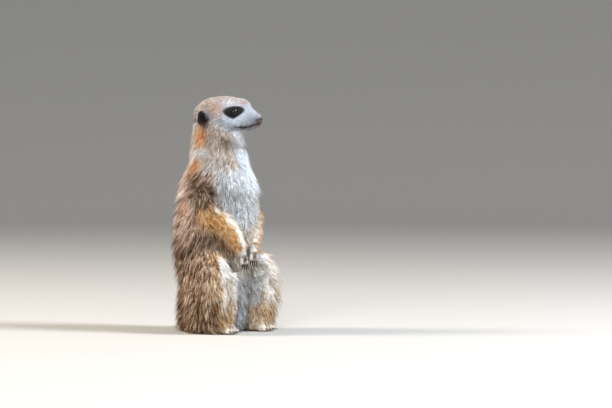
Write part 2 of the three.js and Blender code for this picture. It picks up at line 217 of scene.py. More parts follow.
def lay_floor():
    """A round sheet of paper, flat under the animal, that sweeps up all round."""
    verts = [(0, 0, 0)]
    for ring in range(1, FLOOR_RINGS + 1):
        radius = FLOOR_EDGE * ring / FLOOR_RINGS
        rise = max(0.0, (radius - FLOOR_FLAT) / (FLOOR_EDGE - FLOOR_FLAT))
        for side in range(FLOOR_SIDES):
            turn = 2 * math.pi * side / FLOOR_SIDES
            verts.append((radius * math.cos(turn), radius * math.sin(turn), FLOOR_RISE * rise * rise))
    faces = [(0, 1 + side, 1 + (side + 1) % FLOOR_SIDES) for side in range(FLOOR_SIDES)]
    for ring in range(FLOOR_RINGS - 1):
        low = 1 + ring * FLOOR_SIDES
        high = low + FLOOR_SIDES
        for side in range(FLOOR_SIDES):
            across = (side + 1) % FLOOR_SIDES
            faces.append((low + side, high + side, high + across, low + across))
    floor = mesh_object("floor", verts, faces, floor_material())


def light_studio():
    """Soft light like an overcast sky: brightest over the breast, with a rim from behind the back."""
    for name, (place, size, watts, colour) in STUDIO_LIGHTS.items():
        light = bpy.data.lights.new(name, "AREA")
        light.shape = "DISK"
        light.size = size
        light.energy = watts
        light.color = linear(colour)[:3]
        lamp = put_in_scene(name, light)
        lamp.location = place
        lamp.rotation_mode = "QUATERNION"
        lamp.rotation_quaternion = (Vector(place) - Vector(CHEST)).to_track_quat("Z", "Y")
    world = bpy.data.worlds.new("studio")
    world.use_nodes = True
    sky = world.node_tree.nodes["Background"]
    sky.inputs["Color"].default_value = linear(SKY_COLOUR)
    sky.inputs["Strength"].default_value = SKY_STRENGTH
    bpy.context.scene.world = world
    bpy.context.scene.view_settings.view_transform = "Standard"
    bpy.context.scene.view_settings.look = "Medium High Contrast"


# ---------------------------------------------------------------- points and fields

# Ripple adds up this many waves, whose lengths differ by these shares of the size asked for.
WAVES = 9
WAVE_SPREAD = (0.6, 1.5)


def unit(v):
    return v / np.maximum(np.linalg.norm(v, axis=-1, keepdims=True), 1e-9)


def far_from(points, place):
    return np.linalg.norm(points - place, axis=1)


def step(low, high, value):
    """0 below low, 1 above high, smooth between. With low above high it falls instead."""
    t = np.clip((value - low) / (high - low), 0, 1)
    return t * t * (3 - 2 * t)


def hump(value, width):
    """1 where value is 0, falling softly to either side."""
    return np.exp(-(value / width) ** 2)


def spot(points, centre, radii):
    """1 at the centre of an ellipsoid, falling softly to about nothing at twice its radii."""
    away = (points - np.array(centre, float)) / np.array(radii, float)
    return np.exp(-(away ** 2).sum(-1))


def ripple(points, size, seed):
    """Smooth random waves from -1 to 1, as wide as size."""
    rng = np.random.default_rng(seed)
    waves = unit(rng.normal(size=(WAVES, 3))) * rng.uniform(*WAVE_SPREAD, (WAVES, 1))
    waves = waves * (2 * math.pi / (2.2 * size))
    phases = rng.uniform(0, 2 * math.pi, WAVES)
    return np.clip(np.sin(points @ waves.T + phases).mean(-1) * 2.2, -1, 1)


def folded(points, axis):
    """The points with the right side folded over onto the left, along an axis that points left."""
    points = points.copy()
    points[:, axis] = np.abs(points[:, axis])
    return points


def blend(a, b, share):
    """a where share is 0, b where it is 1."""
    return a + (b - a) * share


def diffused(values, edges, rounds, rate=1.0):
    """Values at the points of a mesh, averaged with their neighbours over and over."""
    values = np.array(values, float)
    flat = values.reshape(len(values), -1)
    count = np.bincount(edges.ravel(), minlength=len(flat))
    share = rate if np.isscalar(rate) else rate[:, None]
    for _ in range(rounds):
        total = np.empty_like(flat)
        for column in range(flat.shape[1]):
            total[:, column] = (np.bincount(edges[:, 0], flat[edges[:, 1], column], len(flat))
                                + np.bincount(edges[:, 1], flat[edges[:, 0], column], len(flat)))
        flat += share * (total / np.maximum(count, 1)[:, None] - flat)
    return flat.reshape(values.shape)


def smoothed(points, edges, rounds, ease):
    """Evens out the steps of the voxels. Each round draws the points together and then spreads them back out,
    so that fingers and ears keep their size."""
    for _ in range(rounds):
        points = diffused(points, edges, 1, 0.60 * ease)
        points = diffused(points, edges, 1, -0.62 * ease)
    return points


def tree_of(points):
    """The points in a tree that finds the nearest of them to a place."""
    tree = KDTree(len(points))
    for number, point in enumerate(points):
        tree.insert(point, number)
    tree.balance()
    return tree


def read(collection, field, width, kind=float):
    values = np.empty(len(collection) * width, np.float32 if kind is float else np.int32)
    collection.foreach_get(field, values)
    return values.reshape(-1, width).astype(kind)


def points_of(mesh):
    return read(mesh.vertices, "co", 3) / MM


def edges_of(mesh):
    return read(mesh.edges, "vertices", 2, int)


def triangles_of(mesh):
    mesh.calc_loop_triangles()
    return read(mesh.loop_triangles, "vertices", 3, int)


def move_points(mesh, points):
    mesh.vertices.foreach_set("co", (points * MM).astype(np.float32).ravel())
    mesh.update()


def normals_at(points, triangles):
    corners = points[triangles]
    facing = np.cross(corners[:, 1] - corners[:, 0], corners[:, 2] - corners[:, 0])
    total = np.zeros_like(points)
    for axis in range(3):
        for corner in range(3):
            total[:, axis] += np.bincount(triangles[:, corner], facing[:, axis], len(points))
    return unit(total)


def laid_flat(ways, normals):
    return unit(ways - normals * (ways * normals).sum(1)[:, None])


def middle(node):
    low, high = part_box(node)
    return np.array((low + high) / 2) / MM


# ---------------------------------------------------------------- the animal's own directions

SIDES = {"left": 1.0, "right": -1.0}
DIGITS = range(1, 5)
EYE_AHEAD = 13.0  # mm from the middle of the skull, and above it
EYE_HIGH = 5.0
EYES = {1.0: middle("eye_left"), -1.0: middle("eye_right")}
EARS = {1.0: middle("ear_left"), -1.0: middle("ear_right")}
HAND_CLAWS = [middle(f"hand_claw_{side}_{number}") for side in SIDES for number in DIGITS]
NOSE = middle("nose")
HEAD_LEFT = unit(EYES[1.0] - EYES[-1.0])
HEAD_AHEAD = np.cross(HEAD_LEFT, UP)
SKULL = (EYES[1.0] + EYES[-1.0]) / 2 - EYE_AHEAD * HEAD_AHEAD - EYE_HIGH * UP
SPINE_BACK = 2  # mm that the body's axis lies behind the middle
TAIL_LINE = np.array([(0, 30, 24), (4, 46, 16), (14, 61, 10), (33, 75, 8), (60, 82, 7), (87, 80, 6),
                      (109, 67, 6), (120, 49, 5), (121, 34, 4)], float)


def head_place(points):
    """Points as (ahead, aside, up) from the middle of the skull, aside being to the animal's left."""
    away = points - SKULL
    return np.stack([away @ HEAD_AHEAD, away @ HEAD_LEFT, away @ UP], -1)


def from_head(ahead, aside, up):
    return SKULL + ahead * HEAD_AHEAD + aside * HEAD_LEFT + up * UP


def body_angle(points):
    """Degrees round the body from its front, alike on both sides."""
    return np.degrees(np.arctan2(np.abs(points[:, 0]), -(points[:, 1] - SPINE_BACK)))


def nearest_of(points, places):
    """How far each point is from the nearest of some places."""
    return np.min([far_from(points, place) for place in places], axis=0)


# ---------------------------------------------------------------- how the coat grows on each part

LIMB_PARTS = ("upper_arm", "forearm", "hand", "thigh", "shank", "foot", "ear")
FLESH = ["head", "lower_jaw", "neck", "trunk", "tail_base", "tail_middle", "tail_tip"]
FLESH += [f"{part}_{side}" for part in LIMB_PARTS for side in SIDES]
FINE_PARTS = ("head", "lower_jaw", "ear", "hand", "foot")

# Depth of the coat over the skin, length and width of a lock, all in mm; its lift from the skin in degrees;
# locks to a square millimetre; and, without a name here, how freely the skin is smoothed.
COAT_FIELDS = ("depth", "length", "width", "lift", "dense")
COATS = {
    "head": (1.2, 3.2, 0.40, 20, 4.2, 0.15),
    "lower_jaw": (0.8, 2.8, 0.42, 14, 3.9, 0.1),
    "ear": (-0.5, 2.2, 0.36, 22, 3.2, 0.0),
    "neck": (4.2, 8.4, 0.46, 24, 2.5, 0.9),
    "trunk": (6.6, 12.0, 0.80, 26, 1.45, 1.0),
    "upper_arm": (4.0, 8.5, 0.66, 22, 1.9, 0.8),
    "forearm": (2.6, 6.5, 0.62, 20, 2.4, 0.4),
    "hand": (-0.2, 3.2, 0.40, 15, 3.2, 0.0),
    "thigh": (6.4, 12.5, 0.86, 26, 1.45, 1.0),
    "shank": (2.4, 6.5, 0.64, 18, 2.0, 0.4),
    "foot": (0.3, 3.4, 0.42, 14, 3.0, 0.0),
    "tail_base": (3.4, 8.0, 0.70, 18, 1.6, 0.5),
    "tail_middle": (2.6, 7.0, 0.62, 18, 1.9, 0.3),
    "tail_tip": (2.0, 6.0, 0.55, 18, 2.2, 0.2),
}

# The way the hair lies: one way all over a part, or from a part towards the next. The thighs' way also
# leans out to the side.
EVEN_LIES = {"neck": (0.0, 0.12, -1.0), "shank": (0.0, -0.15, -1.0), "foot": (0.0, -1.0, -0.1)}
THIGH_LIE = (0.12, -0.55, -1.0)
LIES_TOWARDS = {"upper_arm": "forearm_{}", "forearm": "hand_{}", "hand": "hand_claw_{}_2"}


def part_of(node):
    return node if node in COATS else node.rsplit("_", 1)[0]


def on_parts(owner, parts):
    """True for the points that belong to these parts, on either side, or to these nodes."""
    return np.array([node in parts or part_of(node) in parts for node in FLESH])[owner]


def tail_direction(points):
    """The direction of the nearest stretch of the tail."""
    starts = TAIL_LINE[:-1]
    spans = TAIL_LINE[1:] - starts
    lengths = (spans ** 2).sum(1)
    share = np.clip(((points[:, None] - starts) * spans).sum(-1) / lengths, 0, 1)
    gap = np.linalg.norm(points[:, None] - starts - share[..., None] * spans, axis=-1)
    return unit(spans[gap.argmin(1)])


def lie_of(node, points):
    """The way that hair points on a node, before it is laid on the skin."""
    part = part_of(node)
    side = node.rpartition("_")[2]
    if part in ("head", "lower_jaw"):
        at = head_place(points)
        down = 0.25 * step(-2, -20, at[:, 2]) + 1.6 * step(-8, -24, at[:, 0])
        return unit(points - (NOSE + 4 * HEAD_AHEAD)) - UP * down[:, None]
    if part == "ear":
        return unit(points - middle(node) + 4 * HEAD_AHEAD) + 0.5 * UP
    if part.startswith("tail"):
        return tail_direction(points)
    if part == "trunk":
        return -UP + 0.18 * unit(points * [1, 1, 0]) + [0, 0.1, 0]
    if part == "thigh":
        way = THIGH_LIE * np.array([SIDES[side], 1, 1])
    elif part in LIES_TOWARDS:
        way = unit(middle(LIES_TOWARDS[part].format(side)) - middle(node))
    else:
        way = EVEN_LIES[part]
    return np.tile(way, (len(points), 1))


# ---------------------------------------------------------------- the skin

VOXEL = 1.6  # mm between the points of the skin, before the face, hands and feet are divided again
SWELL = 0.3  # closes the hairline gaps between the nodes
SMOOTHING = 14  # rounds over the whole body
HAUNCH_SMOOTHING = 90  # fills the fold between the thighs and the flanks
LAP_SMOOTHING = 60
FACE_SMOOTHING = 8
KNEE_DROP = 3.5  # mm that the folded knee lies deeper in its coat
SOLE_HEIGHT = 0.25  # mm between the skin and the floor
TOE_GROOVE = 0.9  # mm deep

COAT_TABLE = np.array([COATS[part_of(node)] for node in FLESH])


def joined_flesh():
    """Every node of flesh in one mesh, each swelled a little so that neighbours run together. The eyes fill
    their sockets, so that lids can be laid over them."""
    whole = bmesh.new()
    for name in FLESH + ["eye_left", "eye_right"]:
        part = bmesh.new()
        part.from_mesh(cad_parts[name].data)
        bmesh.ops.remove_doubles(part, verts=part.verts, dist=1e-6)
        part.normal_update()
        for vertex in part.verts:
            vertex.co += vertex.normal * SWELL * MM
        swelled = bpy.data.meshes.new(f"{name}_swelled")
        part.to_mesh(swelled)
        part.free()
        whole.from_mesh(swelled)
        bpy.data.meshes.remove(swelled)
    return whole


def one_surface(solids):
    """The solids as one closed surface of even squares."""
    mesh = bpy.data.meshes.new("flesh")
    solids.to_mesh(mesh)
    solids.free()
    carrier = put_in_scene("flesh", mesh)
    voxels = carrier.modifiers.new("voxels", "REMESH")
    voxels.mode = "VOXEL"
    voxels.voxel_size = VOXEL * MM
    scene_state = bpy.context.evaluated_depsgraph_get()
    surface = bpy.data.meshes.new_from_object(carrier.evaluated_get(scene_state))
    bpy.data.objects.remove(carrier)
    bpy.data.meshes.remove(mesh)
    return surface


def nearest_parts(points):
    """For each point, the number in FLESH of the node that it lies nearest to."""
    verts = []
    faces = []
    owners = []
    for number, name in enumerate(FLESH):
        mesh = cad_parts[name].data
        corners = triangles_of(mesh) + len(verts)
        verts += list(points_of(mesh))
        faces += corners.tolist()
        owners += [number] * len(corners)
    tree = BVHTree.FromPolygons(verts, faces)
    return np.array([owners[tree.find_nearest(Vector(p))[2]] for p in points])


def divide(mesh, chosen):
    """Cuts each edge in two where both its ends are chosen."""
    work = bmesh.new()
    work.from_mesh(mesh)
    work.verts.ensure_lookup_table()
    edges = [edge for edge in work.edges if chosen[edge.verts[0].index] and chosen[edge.verts[1].index]]
    bmesh.ops.subdivide_edges(work, edges=edges, cuts=1, use_grid_fill=True)
    work.to_mesh(mesh)
    work.free()


def haunch(points, owner):
    """1 on the sides and back of the hips, where the coat runs from the flank over the thigh unbroken."""
    hips = on_parts(owner, ("thigh", "trunk", "tail_base")) * step(48, 72, body_angle(points))
    return hips * step(150, 118, points[:, 2]) * step(4, 26, points[:, 2])


def lap(points, owner):
    """1 in front, where the belly runs down over the tops of the thighs."""
    front = on_parts(owner, ("thigh", "trunk")) * step(78, 56, body_angle(points))
    return front * step(130, 114, points[:, 2]) * step(62, 84, points[:, 2])


def smooth_body(mesh):
    """Takes out the steps of the voxels, most freely where the coat is deep. Returns each point's node."""
    owner = nearest_parts(points_of(mesh))
    edges = edges_of(mesh)
    points = smoothed(points_of(mesh), edges, SMOOTHING, 1.0)
    ease = diffused(COAT_TABLE[owner, -1], edges, 4) * step(30, 16, head_place(points)[:, 0])
    points = diffused(points, edges, SMOOTHING, ease)
    for fold, rounds in ((haunch, HAUNCH_SMOOTHING), (lap, LAP_SMOOTHING)):
        points = diffused(points, edges, rounds, diffused(fold(points, owner), edges, 8))
    move_points(mesh, points)
    return owner


def growth_over(points, owner, edges):
    """How the coat grows at each point, running together from part to part and most softly at the neck."""
    at = head_place(points)
    height = points[:, 2]
    growth = diffused(COAT_TABLE[owner, :-1], edges, 24)
    near_neck = step(-40, -8, at[:, 2]) * step(12, -8, at[:, 0])
    growth += (diffused(growth, edges, 70) - growth) * near_neck[:, None]
    growth = dict(zip(COAT_FIELDS, growth.T))
    depth = growth["depth"] * (1 - step(14, 34, at[:, 0]) * (height > 225))
    depth = depth * (1 - 0.4 * step(60, 90, body_angle(points)) * step(60, 20, height))
    knee = on_parts(owner, ("thigh",)) * step(40, 60, height) * step(114, 100, height)
    growth["depth"] = depth + KNEE_DROP * diffused(knee * step(12, -6, points[:, 1]), edges, 10)
    return growth


def hair_lie(points, normals, owner, edges):
    """The way the hair lies on the skin at each point."""
    lie = np.zeros_like(points)
    for number, node in enumerate(FLESH):
        mine = owner == number
        lie[mine] = unit(lie_of(node, points[mine]))
    return laid_flat(diffused(lie, edges, 14), normals)


def make_skin():
    """The skin's mesh and what grows where on it, as named fields with a row for each point."""
    mesh = one_surface(joined_flesh())
    divide(mesh, on_parts(smooth_body(mesh), FINE_PARTS))
    divide(mesh, near_features(points_of(mesh)))
    points = points_of(mesh)
    edges = edges_of(mesh)
    triangles = triangles_of(mesh)
    owner = nearest_parts(points)
    ease = np.where(on_parts(owner, FINE_PARTS), 1.0, 0.5)
    points = smoothed(points, edges, FACE_SMOOTHING, diffused(ease, edges, 3))
    growth = growth_over(points, owner, edges)
    outward = unit(diffused(normals_at(points, triangles), edges, 3))
    points = diffused(points - outward * growth["depth"][:, None], edges, 2, 0.5)
    shape_face(points, normals_at(points, triangles))
    toes = part_toes(points, owner)
    points -= normals_at(points, triangles) * (TOE_GROOVE * toes)[:, None]
    points[:, 2] = np.maximum(points[:, 2], SOLE_HEIGHT)
    move_points(mesh, points)
    normals = normals_at(points, triangles)
    return mesh, dict(growth, points=points, normals=normals, lie=hair_lie(points, normals, owner, edges),
                      owner=owner, triangles=triangles, edges=edges, toes=toes)


# ---------------------------------------------------------------- the face and toes

EYE_RADIUS = 5.3
MOUTH_HEIGHT = -14.4
MOUTH_RISE = 4.2  # the lips rise this much towards the nose
MOUTH_CORNER = 13.5
LID_HALF_LENGTH = 3.9
LID_HALF_HEIGHT = 2.9
LID_THICK = 0.8
LID_CREASE = 0.35
SOCKET_DEPTH = 1.4  # how far the skin passes under the eyeball

# What swells out of the face, or sinks into it where the number is negative: how far in mm, where it is on
# the head and how far it reaches.
FACE_SWELLS = (
    (0.9, (31.5, 7.5, -8.6), (4.5, 3.5, 3.2)),  # whisker pads
    (1.8, (32, 0, 4), (6, 6, 5)),  # bridge of the muzzle
    (2.2, (38.5, 0, -1.5), (4.5, 6, 4.5)),  # behind the nose
    (4.0, (25.5, 0, 14), (9, 9, 8)),  # forehead
    (1.1, (13, 19, 12.6), (8, 6, 2.6)),  # brows
    (-0.7, (24, 13, 3.4), (4.0, 5, 3.2)),  # in front of the eyes
)


def above_mouth(at):
    """Height over the line of the lips, for places on the head."""
    return at[:, 2] - MOUTH_HEIGHT - MOUTH_RISE * step(27, 40, at[:, 0])


def near_features(points):
    """The eyes, ears, nose and mouth, where the skin has its finest folds."""
    at = head_place(points)
    mouth = (np.abs(above_mouth(at)) < 2.4) & (at[:, 0] > MOUTH_CORNER - 3)
    features = (nearest_of(points, EYES.values()) < 10) | (nearest_of(points, EARS.values()) < 11.5)
    return features | mouth | (far_from(points, NOSE) < 8)


def eye_axes(way):
    """The eye's centre, the way it looks, and its lids' length and height."""
    gaze = unit(0.88 * way * HEAD_LEFT + 0.46 * HEAD_AHEAD + 0.06 * UP)
    slant = HEAD_AHEAD + 0.16 * UP
    long_way = unit(slant - gaze * (slant @ gaze))
    high_way = np.cross(gaze, long_way) * way
    high_way *= np.sign(high_way @ UP)
    return EYES[way], gaze, long_way, high_way


def lid_place(points, way):
    """How far out from the middle of the lids' opening a point lies (1 is the rim), how far it faces the way
    the eye looks, and how high it is over the opening's long axis."""
    centre, gaze, long_way, high_way = eye_axes(way)
    ray = unit(points - centre)
    along = ray @ long_way * EYE_RADIUS
    above = ray @ high_way * EYE_RADIUS
    taper = 1 - 0.3 * np.clip(np.abs(along) / LID_HALF_LENGTH, 0, 1) ** 2
    rim = np.hypot(along / LID_HALF_LENGTH, above / (LID_HALF_HEIGHT * taper))
    return rim, ray @ gaze, above


def open_lids(points, way):
    """Lays the skin over the eyeball as lids, and sinks it under the ball between them."""
    centre = EYES[way]
    rim, facing, above = lid_place(points, way)
    away = far_from(points, centre)
    near = (facing > 0.15) & (away < 13)
    lid = EYE_RADIUS + LID_THICK * step(2.4, 1.1, rim) - LID_CREASE * hump(rim - 1.75, 0.16) * (above > 0)
    covered = np.logaddexp(away * 4, lid * 4) / 4
    covered = blend(away, covered, step(0.15, 0.45, facing))
    sunk = np.minimum(away, EYE_RADIUS - SOCKET_DEPTH)
    target = blend(covered, sunk, step(1.06, 0.94, rim))
    moved = centre + unit(points - centre) * target[:, None]
    points[near] = moved[near]


def hollow_ear(points, way):
    """A low cup open to the side: a raised rim behind and above, and a fold inside."""
    away = points - EARS[way]
    ahead = away @ HEAD_AHEAD
    out = away @ HEAD_LEFT * way
    above = away @ UP
    cup = np.hypot((ahead - 0.9) / 5.0, (above - 0.3) / 7.8)
    outer = step(-1.5, 0.5, out) * (cup < 2)
    depth = 2.6 * step(1.0, 0.3, cup)
    rim = 0.7 * hump(cup - 1.16, 0.2) * step(3, -3, ahead - 0.3 * above)
    fold = 0.8 * hump(ahead + 0.16 * above - 0.4, 0.9) * step(0.95, 0.5, cup)
    points += (way * HEAD_LEFT) * ((rim + fold - depth) * outer)[:, None]


def shape_face(points, normals):
    """Lips, whisker pads, brows, lids and ears, pressed into the smooth skin of the head."""
    at = folded(head_place(points), 1)
    on_head = (far_from(points, SKULL) < 60) & (at[:, 2] > -34)
    points[:, 2] += 3.0 * step(19, 30, at[:, 0]) * step(-14, -20, at[:, 2]) * on_head
    mouth = step(MOUTH_CORNER - 1, MOUTH_CORNER + 3, at[:, 0])
    above = above_mouth(at)
    press = -0.8 * hump(above, 0.7) * mouth
    press += 0.45 * hump(above - 1.9, 1.2) * mouth
    for swell, centre, radii in FACE_SWELLS:
        press += swell * spot(at, centre, radii)
    press -= 0.5 * hump(at[:, 1], 0.7) * step(33, 37, at[:, 0]) * step(-6, -8, at[:, 2])
    points += normals * (press * on_head)[:, None]
    for way in SIDES.values():
        open_lids(points, way)
        hollow_ear(points, way)


def part_toes(points, owner):
    """1 in the grooves between the toes of each paw, fading out towards its heel."""
    groove = np.zeros(len(points))
    for paw, side in [(paw, side) for paw in ("hand", "foot") for side in SIDES]:
        mine = owner == FLESH.index(f"{paw}_{side}")
        claws = [middle(f"{paw}_claw_{side}_{number}") for number in DIGITS]
        heel = middle(f"{paw}_{side}")
        here = points[mine]
        gaps = []
        for claw in claws:
            start = heel + 0.2 * (claw - heel)
            toe = claw - start
            share = np.clip((here - start) @ toe / (toe @ toe), 0, 1)
            gaps.append(np.linalg.norm(here - start - share[:, None] * toe, axis=1))
        nearest = np.sort(gaps, axis=0)
        reach = (here - heel) @ unit(np.mean(claws, axis=0) - heel)
        groove[mine] = hump(nearest[1] - nearest[0], 0.8) * step(-2.0, 2.0, reach)
    return groove


# ---------------------------------------------------------------- markings

# Each marking: the middle of its hairs, its pale tips and its dark tips, then the shares of locks that are
# dark and pale.
MARKINGS = {
    "breast": ("#DBE3EA", "#F6FAFE", "#A1A8AE", 0.12, 0.45),
    # grey painted shade on the breast
    "breast_painted_shade": ("#A7AAA6", "#D5D8D6", "#6E6D67", 0.24, 0.32),
    "belly": ("#C9C2B8", "#EAE5DE", "#7E7368", 0.25, 0.35),
    # brown streaks of hair under the arms, darkened as painted shade
    "under_arm_streaks_and_shade": ("#77655A", "#C0B09C", "#32261F", 0.42, 0.20),
    "back": ("#CAA48F", "#FCF5EE", "#4C352A", 0.26, 0.50),
    "rump": ("#8F6D53", "#E6D2BB", "#2E1E15", 0.38, 0.30),
    # the back's short dark bands, also laid as painted shade in the waist fold
    "dark_band_and_fold_shade": ("#553C2E", "#AE917A", "#231813", 0.55, 0.10),
    "shoulder": ("#876E59", "#DCCBBA", "#2E221A", 0.40, 0.24),
    "rust": ("#DF9859", "#F9CF9F", "#8A4A23", 0.20, 0.34),
    "nape": ("#B9A79D", "#E4DCD8", "#6E5B50", 0.22, 0.44),
    "neck": ("#D8C7B4", "#FAF6F0", "#7C6350", 0.22, 0.48),
    "collar": ("#D7D7DA", "#FBFBFD", "#716B6A", 0.20, 0.50),
    # grey on the side of the throat, also laid as painted shadow in creases of the neck and shoulder
    "grey_throat_and_crease_shade": ("#8C7F72", "#B0A699", "#5A4C42", 0.40, 0.15),
    "gold": ("#D4A66C", "#F5E0BC", "#73492A", 0.18, 0.34),
    # pale inner edge of the arms, brightened as a painted rim light
    "pale_arm_edge_and_rim_light": ("#F4EEE4", "#FFFEFB", "#B3A593", 0.05, 0.55),
    "thigh": ("#A88268", "#F4E6D6", "#32200F", 0.34, 0.36),
    "thigh_front": ("#F2F1EF", "#FFFFFF", "#988F87", 0.08, 0.48),
    "shank": ("#E2DBD1", "#FAF7F2", "#938678", 0.12, 0.40),
    "buff": ("#C79D67", "#F0DAB6", "#6D4926", 0.18, 0.32),
    "paw": ("#DDD1C3", "#F6F0E8", "#93816F", 0.12, 0.38),
    # painted shade in the grooves between the toes
    "toe_groove_painted_shade": ("#4A3C34", "#7A6A5E", "#2A211C", 0.40, 0.10),
    "tail": ("#A58158", "#D0B48A", "#57402C", 0.25, 0.25),
    "tail_tip": ("#2C2420", "#4A3D34", "#171311", 0.40, 0.10),
    "face": ("#A3A8B0", "#DADEE6", "#545356", 0.24, 0.32),
    "cheek": ("#AEB9C5", "#DEE7EF", "#6C7078", 0.22, 0.32),
    "temple": ("#A08173", "#CEBBB1", "#5D4339", 0.28, 0.25),
    "white": ("#B4BDC5", "#DFE5EA", "#80858B", 0.12, 0.42),
    "eye_ring": ("#17191F", "#363B48", "#0B0C10", 0.38, 0.14),
    # grey muzzle sides, darkened by painted shade under the bridge of the muzzle
    "muzzle_side_and_painted_shade": ("#7A818C", "#ABB3BE", "#44474D", 0.26, 0.24),
    "lip": ("#423A3A", "#6A6161", "#262020", 0.35, 0.12),
    "chin_tan": ("#A89A88", "#CBC0B1", "#6E6152", 0.20, 0.25),
    "muzzle_top": ("#6E5F58", "#978A83", "#3F3531", 0.25, 0.25),
    "nose_side": ("#4A3B3A", "#7A6560", "#271F1F", 0.35, 0.15),
    "face_fleck": ("#8A8788", "#B9B8BC", "#55504F", 0.35, 0.15),
    "crown": ("#988E8E", "#C9C7CC", "#5B5053", 0.25, 0.34),
    "pepper": ("#8B7F7C", "#C9C4C4", "#54484A", 0.40, 0.25),
    "haunch_edge": ("#CDB08A", "#F6EAD6", "#6B4D32", 0.24, 0.36),
    # painted shade: warm grey on the inner sides of the thighs
    "inner_thigh_painted_shade": ("#BAB5A8", "#DEDACF", "#706B62", 0.24, 0.32),
    # painted shade: white fur between and inside the legs, grey-blue as it looks in shade
    "inner_leg_painted_shade": ("#B8BCBF", "#DFE2E5", "#706F70", 0.24, 0.32),
    "ear": ("#16171D", "#414756", "#09090C", 0.35, 0.18),
    "ear_fringe": ("#7E8087", "#B4B9C0", "#3F3D42", 0.22, 0.34),
}
MARKING_ROWS = {name: np.array([c for colour in row[:3] for c in linear(colour)[:3]] + list(row[3:]))
                for name, row in MARKINGS.items()}

# Spots of a marking, in the order they are laid: how strong all over, how much more by the mottle, where
# the middle is on the left side and how far it reaches.
THROAT_SPOTS = (
    ("grey_throat_and_crease_shade", 0.63, 0.27, (12, -26, 228), (12, 12, 8)),
    ("rust", 0.84, 0.56, (31, 8, 206), (11, 13, 7)),
)
SHOULDER_SPOTS = (
    ("collar", 0.5, 0.5, (24, -14, 203), (15, 16, 10)),
    ("collar", 1.3, 0.0, (28, 4, 218), (14, 16, 5.5)),
    ("shoulder", 0.7, 0.5, (34, 6, 188), (13, 15, 10)),
    # painted shadow in the crease between neck and shoulder
    ("grey_throat_and_crease_shade", 0.6, 0.0, (30, -19, 191), (9, 9, 3.5)),
    # painted shade on the breast
    ("breast_painted_shade", 0.63, 0.27, (20, -42, 163), (15, 16, 17)),
)
FACE_SPOTS = (
    ("cheek", 1.0, 0.0, (4, 24, -9), (17, 14, 10)),
    # painted shade under the bridge of the muzzle
    ("muzzle_side_and_painted_shade", 1.1, 0.0, (31.5, 9, -4.5), (7.5, 7, 5)),
    ("temple", 0.0, 1.2, (-9, 21, 8), (10, 10, 11)),
    ("temple", 0.0, 0.8, (-6, 6, 24), (14, 11, 8)),
    ("temple", 0.0, 1.0, (22.5, 7, 15.5), (4.5, 7, 4)),
    ("white", 0.9, 0.0, (9, 16, 17.5), (7.5, 6, 4.6)),
    ("white", 1.0, 0.0, (30, 3, -22), (10, 8, 4)),
    ("muzzle_top", 1.0, 0.0, (36.5, 2, 0), (3.2, 3.5, 2.5)),
    ("chin_tan", 1.0, 0.0, (20, 8, -21), (8, 9, 4)),
)
LIP_SPOTS = (
    ("lip", 1.0, 0.0, (35, 6, -11.0), (5, 5, 2.4)),
    ("lip", 0.55, 0.0, (5, 25, -14.5), (3.5, 8, 1.8)),
    ("nose_side", 1.6, 0.0, (39.5, 4, -6), (5.0, 7, 4.2)),
)
EAR_SPOTS = (
    ("ear", 0.9, 0.0, (-21.5, 23, -10), (3, 6, 4)),
    ("ear", 1.2, 0.0, (-19, 24, -3), (2.6, 5, 6.5)),
    ("ear", 0.8, 0.0, (-16, 24, -6.5), (2.4, 5, 3.4)),
    ("rust", 0.8, 0.0, (-25, 20, -17), (4, 8, 6)),
)

# The parts that markings follow, and over how many points of the skin each runs out into its neighbours.
MARK_GROUPS = {
    "arm": (("upper_arm", "forearm"), 18),
    "thigh": (("thigh",), 7),
    "shank": (("shank",), 7),
    "hand": (("hand",), 7),
    "foot": (("foot",), 7),
    "ear": (("ear",), 5),
    "neck": (("neck",), 7),
    "head": (("head", "lower_jaw", "ear"), 5),
    "tail": (("tail_base", "tail_middle", "tail_tip"), 7),
    "tip": (("tail_tip",), 7),
}


def spots(points, table, share=1.0, mottle=0.0):
    """The markings of a table of spots, at points folded to one side."""
    return [(name, share * (even + more * mottle) * spot(points, centre, radii))
            for name, even, more, centre, radii in table]


